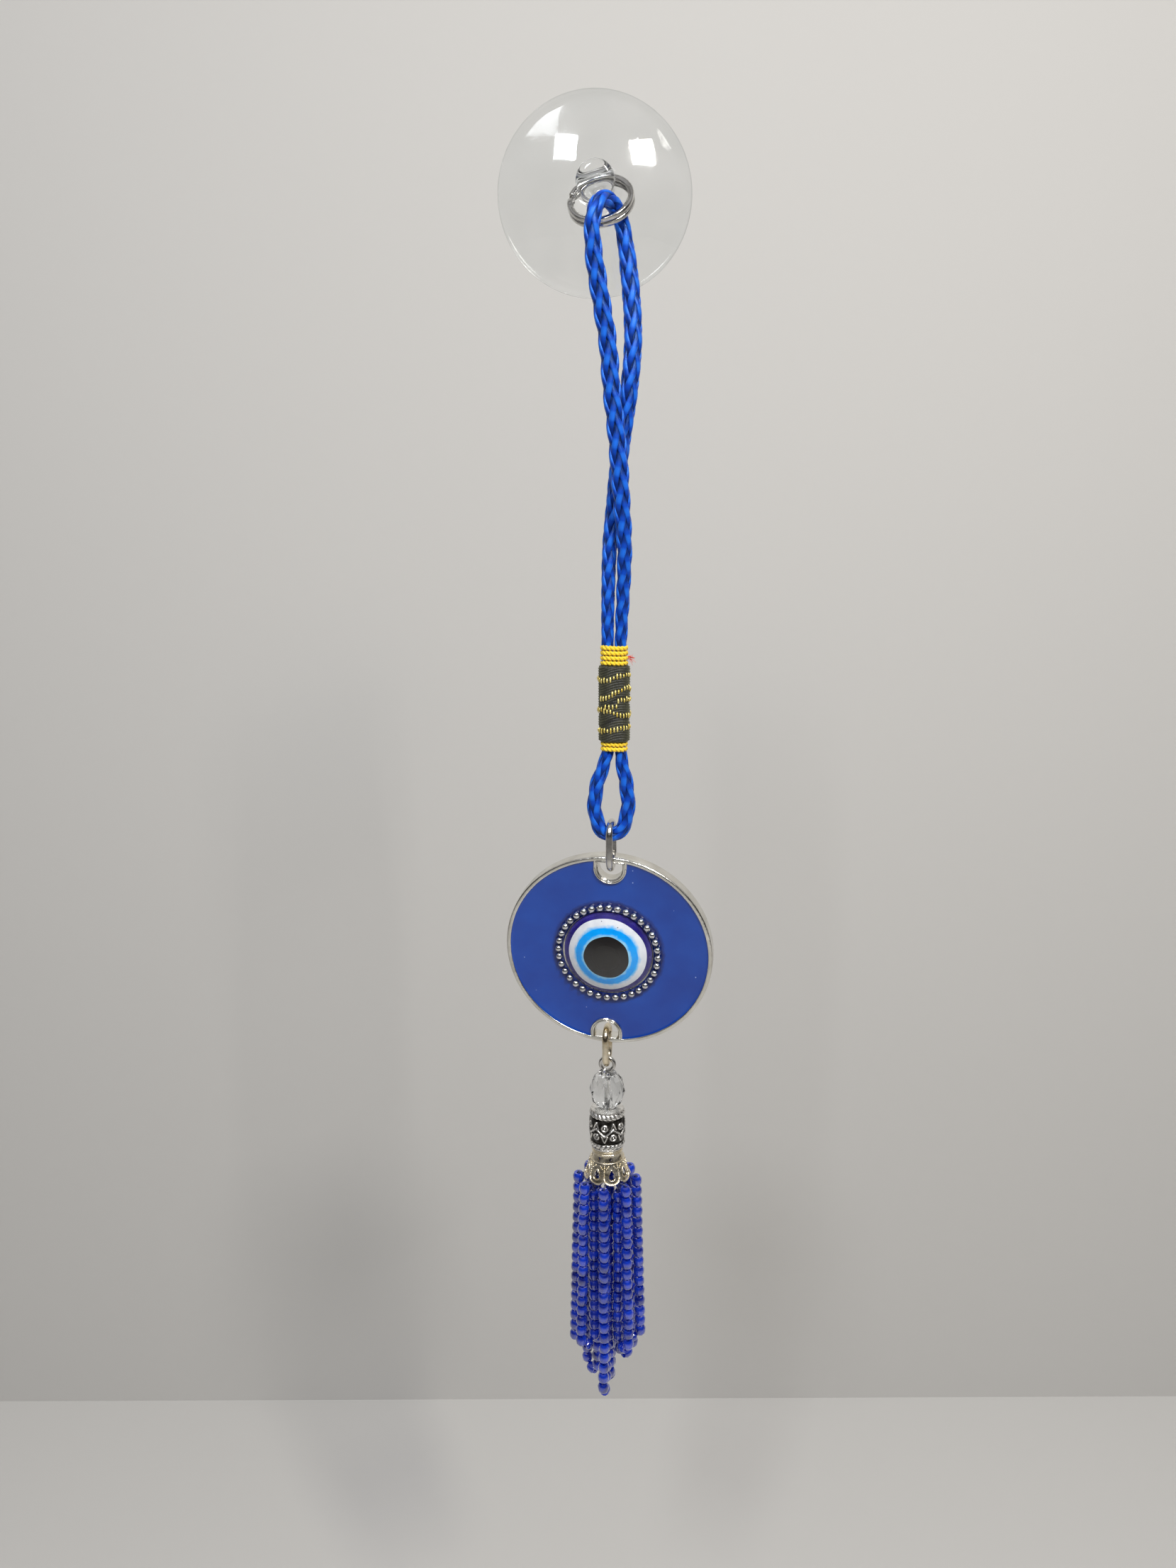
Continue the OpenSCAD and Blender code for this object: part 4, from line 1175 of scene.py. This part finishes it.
def poured(name, light, deep, speck, share=0.12, bleed=None, bleed_from=0.0, bleed_to=0.0):
    """Coloured resin with a faint cloud, trapped specks and, at one edge, its neighbour's colour bled in."""
    resin = Finish(name, Roughness=0.22, Coat_Weight=0.3)
    body = resin.mix(resin.clouds(520.0), deep, light)
    if bleed:
        ragged = resin.clouds(900.0, -0.25, 0.25)
        reach = resin.math("ADD", from_eye_middle(resin), ragged)
        body = resin.mix(resin.spread(reach, bleed_from, bleed_to), body, bleed)
    dots = resin.grouped(SPECKS, resin.coords(), Scale=1300.0, Size=0.13, Share=share)
    resin.colour(resin.mix(dots, body, speck))
    resin.bump(resin.clouds(400.0), 0.02)
    return resin.material


edge_blue = poured("eye_edge_blue", (0.022, 0.014, 0.20), (0.010, 0.006, 0.10), (0.1, 0.1, 0.3))
milk = poured("eye_milk", (0.76, 0.78, 0.80), (0.62, 0.65, 0.70), (0.05, 0.06, 0.12), 0.12,
              (0.03, 0.42, 0.86), 6.75, 6.0)
cyan = poured("iris_cyan", (0.0, 0.36, 0.92), (0.0, 0.26, 0.76), (0.01, 0.04, 0.2))
sky = poured("iris_sky", (0.30, 0.60, 0.80), (0.20, 0.50, 0.76), (0.05, 0.15, 0.3), 0.05,
             (0.0, 0.32, 0.86), 4.6, 5.0)
white_r, cyan_r, sky_r, pupil_r = 7.6, 6.0, 5.2, 4.4
eye_layer("eye_edge", "eye_base", edge_blue, eye_r, white_r, tray_z)
eye_layer("eye_white_layer", "eye_white", milk, white_r, cyan_r)
eye_layer("iris_cyan_layer", "iris_deep", cyan, cyan_r, sky_r)
eye_layer("iris_sky_layer", "iris_pale", sky, sky_r, pupil_r)

# %% [markdown]
# ## The pupil
# The pupil is one more pour, but its middle dried matt and a shade lighter than its edge. The distance from
# the pupil's own centre, through a Mapping node, picks where the matt disc lies.

# %% Pupil and coat
def pupil_black():
    black = Finish("pupil_black", Roughness=0.2, Coat_Weight=0.4)
    inside = black.spread(from_eye_middle(black), 2.9, 2.5)
    fog = black.clouds(700.0, 0.6, 1.0)
    matt = black.math("MULTIPLY", inside, fog)
    black.colour(black.mix(matt, (0.003, 0.002, 0.002), (0.006, 0.005, 0.004)))
    black.roughness(black.math("ADD", 0.18, black.math("MULTIPLY", matt, 0.2)))
    return black.material


def clear_coat():
    resin = clouded("clear_resin", 200.0, (0.97, 0.98, 1.0), (1.0, 1.0, 1.0), None, (110.0, 0.03, 0.5),
                    (0.97, 0.98, 1.0), Roughness=0.02, IOR=1.36, Transmission_Weight=1.0)
    bm = bmesh.new()
    inner_ball = layer_r - 0.02
    steps = 24
    over = [(eye_r * i / steps, on_dome(eye_r * i / steps, dome_r)) for i in range(steps + 1)]
    reach = math.sqrt(inner_ball**2 - (eye_z - dome_c)**2)
    under = [(reach * i / steps, on_dome(reach * i / steps, inner_ball)) for i in range(steps, -1, -1)]
    lathe(bm, [*over, *under], 144)
    return finish_piece(bm, "eye_clear_coat", resin, "pendant", disc_place, 40, ["eye_coat"])


eye_layer("pupil_layer", "eye_pupil", pupil_black(), pupil_r, 0)
clear_coat()

# %% [markdown]
# ## The eye pin
# One wire makes the whole pin: a loop round the jump ring above, a straight shank that carries the beads,
# and a small loop inside the cone that holds the tassel.

# %% Pin
pin_floor = (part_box("eye_pin")[0].z - joint_place("pin_sway").z) / MM


def eye_pin():
    loop_r, low_loop_r, wire_r = 1.4, 1.1, 0.4
    low_centre = pin_floor + wire_r + low_loop_r
    line = [(loop_r * math.sin(a), 0, -loop_r * math.cos(a)) for a in
            (math.radians(330 - 330 * i / 44) for i in range(45))]
    line += [(0, 0, -loop_r + (low_centre + low_loop_r + loop_r) * i / 40) for i in range(1, 40)]
    line += [(low_loop_r * math.sin(a), 0, low_centre + low_loop_r * math.cos(a)) for a in
             (math.radians(335 * i / 36) for i in range(37))]
    rows = wire_rows(line, (0, 1, 0), wire_r, wire_r, 16)
    mesh = joined_skins("eye_pin_wire", [skin(rows)], 0.2)
    mesh.transform(pin_place)
    return as_piece(mesh, "eye_pin_wire", ring_finish, "pin", ["eye_pin"])


eye_pin()

# %% [markdown]
# ## The clear bead
# A cut glass bead has rows of flat facets that are staggered like bricks. The points of a few rings, each
# turned half a step from the last, are given to convex_hull, which finds the facets. A small bevel takes
# the razor edge off them, because real edges catch a thin line of light.

# %% Faceted bead
pin_top_z = joint_place("pin_sway").z
bore_r = 0.46          # the hole through every bead on the pin


def pin_height(z):
    """A height of the frame, in mm from the pin's hinge."""
    return (z - pin_top_z) / MM


def faceted_bead():
    low, high = (pin_height(corner.z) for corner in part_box("clear_bead"))
    sides = 10
    bm = bmesh.new()
    for row, (share, radius) in enumerate(((0, 1.9), (0.16, 3.0), (0.5, 3.68), (0.84, 3.0), (1, 1.9))):
        for k in range(sides):
            a = 2 * math.pi * (k + 0.5 * (row % 2)) / sides
            height = low + (high - low) * share
            bm.verts.new((radius * math.cos(a) * MM, radius * math.sin(a) * MM, height * MM))
    bmesh.ops.convex_hull(bm, input=bm.verts)
    bmesh.ops.dissolve_limit(bm, angle_limit=math.radians(2), verts=bm.verts, edges=bm.edges)
    bmesh.ops.bevel(bm, geom=bm.edges, offset=0.05 * MM, offset_type="OFFSET", segments=1, profile=0.5,
                    affect="EDGES", material=-1)
    mesh = combined(mesh_of(bm), [rod_mesh(bore_r, low - 1, high + 1, 32)])
    glass = clouded("cut_glass", 240.0, (0.93, 0.96, 0.98), (1.0, 1.0, 1.0), None, (300.0, 0.01, 0.5),
                    (0.95, 0.96, 0.97), Roughness=0.015, IOR=1.54, Transmission_Weight=1.0)
    return finish_piece(as_bm(mesh), "cut_glass_bead", glass, "crystal", pin_place, 4,
                        ["clear_bead"])


faceted_bead()

# %% [markdown]
# ## The cast barrel
# The barrel is a silver-coloured casting with a rope band at each end and a belt of rings and triangles
# about a zigzag. A dense lathe gives the round body, and every vertex then moves in or out by a relief that
# depends on its angle and height. The relief is also stored on the mesh, so that the dark patina lies in
# the hollows.

# %% Relief of the barrel
def ridge(distance, width):
    return math.exp(-((distance / width) ** 2))


def barrel_relief(angle, up, length):
    """The pattern's height in mm at an angle and a distance up the barrel."""
    share = up / length
    from_end = min(up, length - up)
    if from_end < 0.35:
        return 0.10
    if from_end < 1.55:
        hand = 1 if share > 0.5 else -1
        rope = abs(math.sin(angle * 11 + hand * up * 1.7))
        return 0.34 * rope**0.7 * math.sin(math.pi * (from_end - 0.35) / 1.2) ** 0.6 - 0.05
    if from_end < 1.75:
        return -0.18
    turn = angle * 6 / (2 * math.pi)
    cell = turn - math.floor(turn) - 0.5
    across = cell * 2 * math.pi * 3.6 / 6
    middle = up - length / 2
    zigzag = (abs(cell) - 0.25) * 3.0
    height = 0.28 * ridge(middle - zigzag, 0.24)
    for side in (1, -1):
        centre = 0.0 if side == 1 else 1.88 * (1 if across > 0 else -1)
        ring = math.hypot(across - centre, middle - side * 1.05)
        height = max(height, 0.26 * ridge(ring - 0.58, 0.17), 0.28 * ridge(ring, 0.20))
        lean = 1.88 * (1 if across > 0 else -1) if side == 1 else 0.0
        top = side * 2.15
        drop = (top - middle) * side
        flank = abs(across - lean) - drop * 0.42
        if 0 < drop < 1.5:
            height = max(height, 0.26 * ridge(flank, 0.16))
    return height - 0.08


def barrel_bead():
    low, high = (pin_height(corner.z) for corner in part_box("barrel_bead"))
    length = high - low
    rows = 110
    bm = bmesh.new()
    wall = [(3.22 + 0.36 * math.sin(math.pi * i / rows) ** 0.9, low + length * i / rows)
            for i in range(rows + 1)]
    lathe(bm, [(bore_r, low), (2.7, low), (3.0, low + 0.03), *wall[1:-1], (3.0, high - 0.03), (2.7, high),
               (bore_r, high), (bore_r, low)], 190)
    kept = bm.verts.layers.float.new("relief")
    for vert in bm.verts:
        r, up = vert.co.xy.length / MM, vert.co.z / MM - low
        if r > 3.05:
            depth = barrel_relief(math.atan2(vert.co.y, vert.co.x) + math.pi, up, length)
            vert.co.xy *= (r + depth) / r
            vert[kept] = depth
        else:
            vert[kept] = 0.12
    return finish_piece(bm, "cast_barrel", antique(), "barrel", pin_place, 60, ["barrel_bead"])


def antique():
    silver = Finish("antique_silver", Metallic=1.0, Roughness=0.25)
    height = silver.math("MULTIPLY_ADD", silver.number("relief"), 4.0, 0.42)
    uneven = silver.math("ADD", height, silver.clouds(900.0, -0.12, 0.12))
    silver.colour(silver.ramp(uneven, [(0.05, (0.020, 0.018, 0.016)), (0.42, (0.20, 0.19, 0.175)),
                                       (0.75, (0.66, 0.64, 0.61)), (1.0, (0.85, 0.84, 0.81))]))
    silver.roughness(silver.clouds(1200.0, 0.14, 0.4))
    silver.bump(silver.clouds(2200.0), 0.03)
    return silver.material


barrel_bead()

# %% [markdown]
# ## The filigree cone
# The cone is a thin stamped bell with eight round-ended petals, each with a tear-drop opening, small oval
# windows above, and lines of tiny grains. A lathe gives the bell, its lower edge is drawn up between the
# petals by a formula, solidify gives it a wall, and the openings are cut. Wires and grains are then laid on
# its face.

# %% Bell and petals
cone_bottom, cone_top = (pin_height(corner.z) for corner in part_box("cone_cap"))
cone_h = cone_top - cone_bottom
petals, drop_up = 8, 1.5          # and the height of the middle of each drop-shaped opening
bell_profile = [(0.0, 4.70), (0.12, 4.42), (0.25, 4.15), (0.5, 3.65), (0.8, 3.05), (0.93, 2.96), (1.0, 2.80)]


def bell_radius(share):
    return float(np.interp(share, [p[0] for p in bell_profile], [p[1] for p in bell_profile]))


def petal_edge(angle):
    """How far the lower edge is above the cone's foot: petals have round ends."""
    across = abs((angle * petals / (2 * math.pi)) % 1 - 0.5) * 2
    return 1.25 * (1 - math.sqrt(max(0, 1 - across**2.6)))


def on_bell(angle, up, proud=0.0):
    """A point on the bell's face, by its angle and its distance above the foot, in mm."""
    r = bell_radius(up / cone_h) + proud
    return (r * math.cos(angle), r * math.sin(angle), cone_bottom + up)


def drop_taper(high):
    """How much of its width a drop keeps at a height, from -1 at its foot to 1 at its tip."""
    return 1 - 0.55 * max(0, high) ** 1.5


def window_tool(angle, up, half_w, low_h, high_h, sides=20):
    """A drop-shaped drill that points out of the bell."""
    bm = bmesh.new()
    ring = bmesh.ops.create_circle(bm, cap_ends=True, segments=sides, radius=1.0)["verts"]
    for vert in ring:
        x, y = vert.co.x, vert.co.y
        vert.co = Vector((2.0 * MM, x * half_w * drop_taper(y) * MM, y * (high_h if y > 0 else low_h) * MM))
    out = only_verts(bmesh.ops.extrude_face_region(bm, geom=bm.faces))
    bmesh.ops.translate(bm, verts=out, vec=(4.5 * MM, 0, 0))
    bmesh.ops.rotate(bm, verts=bm.verts, matrix=Matrix.Rotation(angle, 3, "Z"))
    bmesh.ops.translate(bm, verts=bm.verts, vec=(0, 0, (cone_bottom + up) * MM))
    return mesh_of(bm)


def bell():
    rows, steps, wall = 26, petals * 20, 0.38
    bm = bmesh.new()
    side = [(bell_radius(i / rows), cone_bottom + cone_h * i / rows) for i in range(rows + 1)]
    lathe(bm, [*side, (bore_r, cone_top)], steps)
    for vert in bm.verts:
        share = (vert.co.z / MM - cone_bottom) / cone_h
        if share < 0.99:
            lift = petal_edge(math.atan2(vert.co.y, vert.co.x)) * max(0, 1 - share / 0.45)
            radius = bell_radius(share + lift / cone_h)
            vert.co.xy *= radius * MM / vert.co.xy.length
            vert.co.z += lift * MM
    bmesh.ops.recalc_face_normals(bm, faces=bm.faces)
    bmesh.ops.solidify(bm, geom=bm.faces, thickness=-wall * MM)
    tools = []
    for k in range(petals):
        middle = 2 * math.pi * (k + 0.5) / petals
        tools.append(window_tool(middle, drop_up, 0.62, 0.55, 1.3))
        tools.append(window_tool(middle, 4.9, 0.33, 0.42, 0.42))
    return combined(mesh_of(bm), tools)


def champagne():
    gilt = Finish("champagne_metal", Metallic=1.0, Roughness=0.24)
    tint = gilt.mix(gilt.clouds(500.0), (0.80, 0.70, 0.50), (1.0, 0.94, 0.80))
    gilt.colour(gilt.mix(gilt.clouds(1700.0, 0.0, 0.2), tint, (0.35, 0.27, 0.16)))
    gilt.roughness(gilt.clouds(1100.0, 0.14, 0.38))
    gilt.bump(gilt.clouds(2000.0), 0.03)
    return gilt.material


champagne_finish = champagne()
finish_piece(as_bm(bell()), "cone_bell", champagne_finish, "cone", pin_place, 35, ["cone_cap"])

# %% Wires and grains on the bell
def bell_lines():
    """The edge wire of every petal, the drop-shaped frames and the two collars."""
    lines = []
    turn = np.linspace(0, 2 * math.pi, petals * 28 + 1)
    lines.append(([on_bell(a, petal_edge(a) + 0.10, 0.02) for a in turn], 0.20))
    for up, thick in ((6.35, 0.22), (5.75, 0.14), (4.15, 0.13)):
        lines.append(([on_bell(a, up, 0.02) for a in turn[::2]], thick))
    for k in range(petals):
        middle = 2 * math.pi * (k + 0.5) / petals
        drop = []
        for i in range(25):
            a = 2 * math.pi * i / 24 + math.pi / 2
            high = math.sin(a)
            up = drop_up + high * (1.42 if high > 0 else 0.67)
            across = 0.74 * drop_taper(high) * math.cos(a)
            drop.append(on_bell(middle + across / bell_radius(up / cone_h), up, 0.03))
        lines.append((drop, 0.11))
    return [skin(wire_rows(line, (0, 0, 1), thick, thick, 8)) for line, thick in lines]


def bell_grains():
    bm = bmesh.new()
    for k in range(petals):
        seam = 2 * math.pi * k / petals
        spots = [(seam, 1.65 + 0.40 * i) for i in range(7)]
        spots += [(seam + side * (0.12 + 0.06 * i), 3.1 + 0.25 * i) for side in (1, -1) for i in range(3)]
        for angle, up in spots:
            grain = bmesh.ops.create_icosphere(bm, subdivisions=1, radius=0.17 * MM)["verts"]
            bmesh.ops.translate(bm, verts=grain, vec=Vector(on_bell(angle, up, 0.05)) * MM)
    return finish_piece(bm, "cone_grains", champagne_finish, "cone", pin_place, 80)


wires = joined_skins("cone_wires", bell_lines(), 0.2)
wires.transform(pin_place)
as_piece(wires, "cone_wires", champagne_finish, "cone")
bell_grains()

# %% [markdown]
# ## The tassel
# Eight doubled strands of cobalt glass seed beads hang from the pin's lower loop. Each strand goes down
# outside, turns under one crosswise bead and comes back up inside. A bead appears hundreds of times, so it
# has few faces and smooth shading, and each copy is nudged and turned a little, because no two seed beads
# are quite alike.

# %% Seed beads
seed_pitch, seed_r, seed_len, leg_in = 2.33, 1.2, 2.1, 3.55


def one_seed():
    """One seed bead about the Z axis."""
    bm = bmesh.new()
    half = seed_len / 2
    outline = [(0.4, -half + 0.12), (0.85, -half), (1.17, -0.5),
               (1.17, 0.5), (0.85, half), (0.4, half - 0.12)]
    lathe(bm, [*outline, outline[0]], 10)
    return mesh_of(bm)


seed_mesh = one_seed()


def put_seed(bm, matrix):
    before = len(bm.verts)
    bm.from_mesh(seed_mesh)
    bm.verts.ensure_lookup_table()
    bmesh.ops.transform(bm, matrix=matrix, verts=bm.verts[before:])


def bead_strand(k, glass, chance):
    """Loop k of the tassel, hung from its own hinge under the cone's edge."""
    pivot = joint_place(f"loop_{k}_flare")
    axis = Vector((pin_place.translation.x, pin_place.translation.y, 0))
    outward = Vector((pivot.x, pivot.y, 0)) - axis
    outward.normalize()
    sideways = UP.cross(outward)
    cone_foot = pivot.z / MM + 0.35
    first_out, foot = cone_foot - 1.05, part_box(f"bead_loop_{k}")[0].z / MM
    turn_r = (7.0 - leg_in) / 2
    last = foot + seed_r + turn_r + 0.15
    count = round((first_out - last) / seed_pitch) + 1
    places = []
    for i in range(count):
        z = first_out - i * seed_pitch
        sway = 0.10 * math.sin(i * 0.7 + k * 1.9)
        places.append((6.0 + (first_out - z) / (first_out - last), z, sway, UP))
        if i > 0:
            places.append((leg_in, z, -sway, UP))
    places.append(((7.0 + leg_in) / 2, last - 0.15 - turn_r, 0, outward))
    bm = bmesh.new()
    for reach, z, sway, along in places:
        turned = along.to_track_quat("Z", "Y").to_matrix().to_4x4()
        tilt = Matrix.Rotation(math.radians(chance.uniform(-6, 6)), 4, "X")
        tilt = tilt @ Matrix.Rotation(math.radians(chance.uniform(-6, 6)), 4, "Y")
        size = Matrix.Scale(chance.uniform(0.96, 1.0), 4)
        spot = axis + outward * reach * MM + sideways * sway * MM
        spot.z = (z + chance.uniform(-0.04, 0.04)) * MM
        put_seed(bm, Matrix.Translation(spot) @ turned @ tilt @ size)
    return finish_piece(bm, f"seed_beads_{k}", glass, f"loop_{k}", None, 60, [f"bead_loop_{k}"])


cobalt = clouded("cobalt_glass", 380.0, (0.001, 0.008, 0.18), (0.006, 0.06, 0.70), (600.0, 0.03, 0.08),
                 (700.0, 0.008), (0.05, 0.12, 0.65), IOR=1.6, Transmission_Weight=0.3, Coat_Weight=1.0,
                 Coat_IOR=1.9)
tassel_chance = random.Random(3)
for k in range(1, 9):
    bead_strand(k, cobalt, tassel_chance)

# %% [markdown]
# ## The threads
# The CAD threads already have the right shape, a fine round line through the beads and a knot inside the
# cone. They keep their meshes and only get a twisted nylon finish in their material slots.

# %% Thread finish on the CAD nodes
nylon = clouded("navy_nylon", 1600.0, (0.004, 0.006, 0.05), (0.02, 0.04, 0.22), None, (3000.0, 0.04),
                Roughness=0.45, Sheen_Weight=0.3)
for node in ["tassel_threads", *(f"loop_thread_{k}" for k in range(1, 9))]:
    for used in frame["nodes"][node].material_slots:
        used.material = nylon
print("threads finished:", nylon.name)
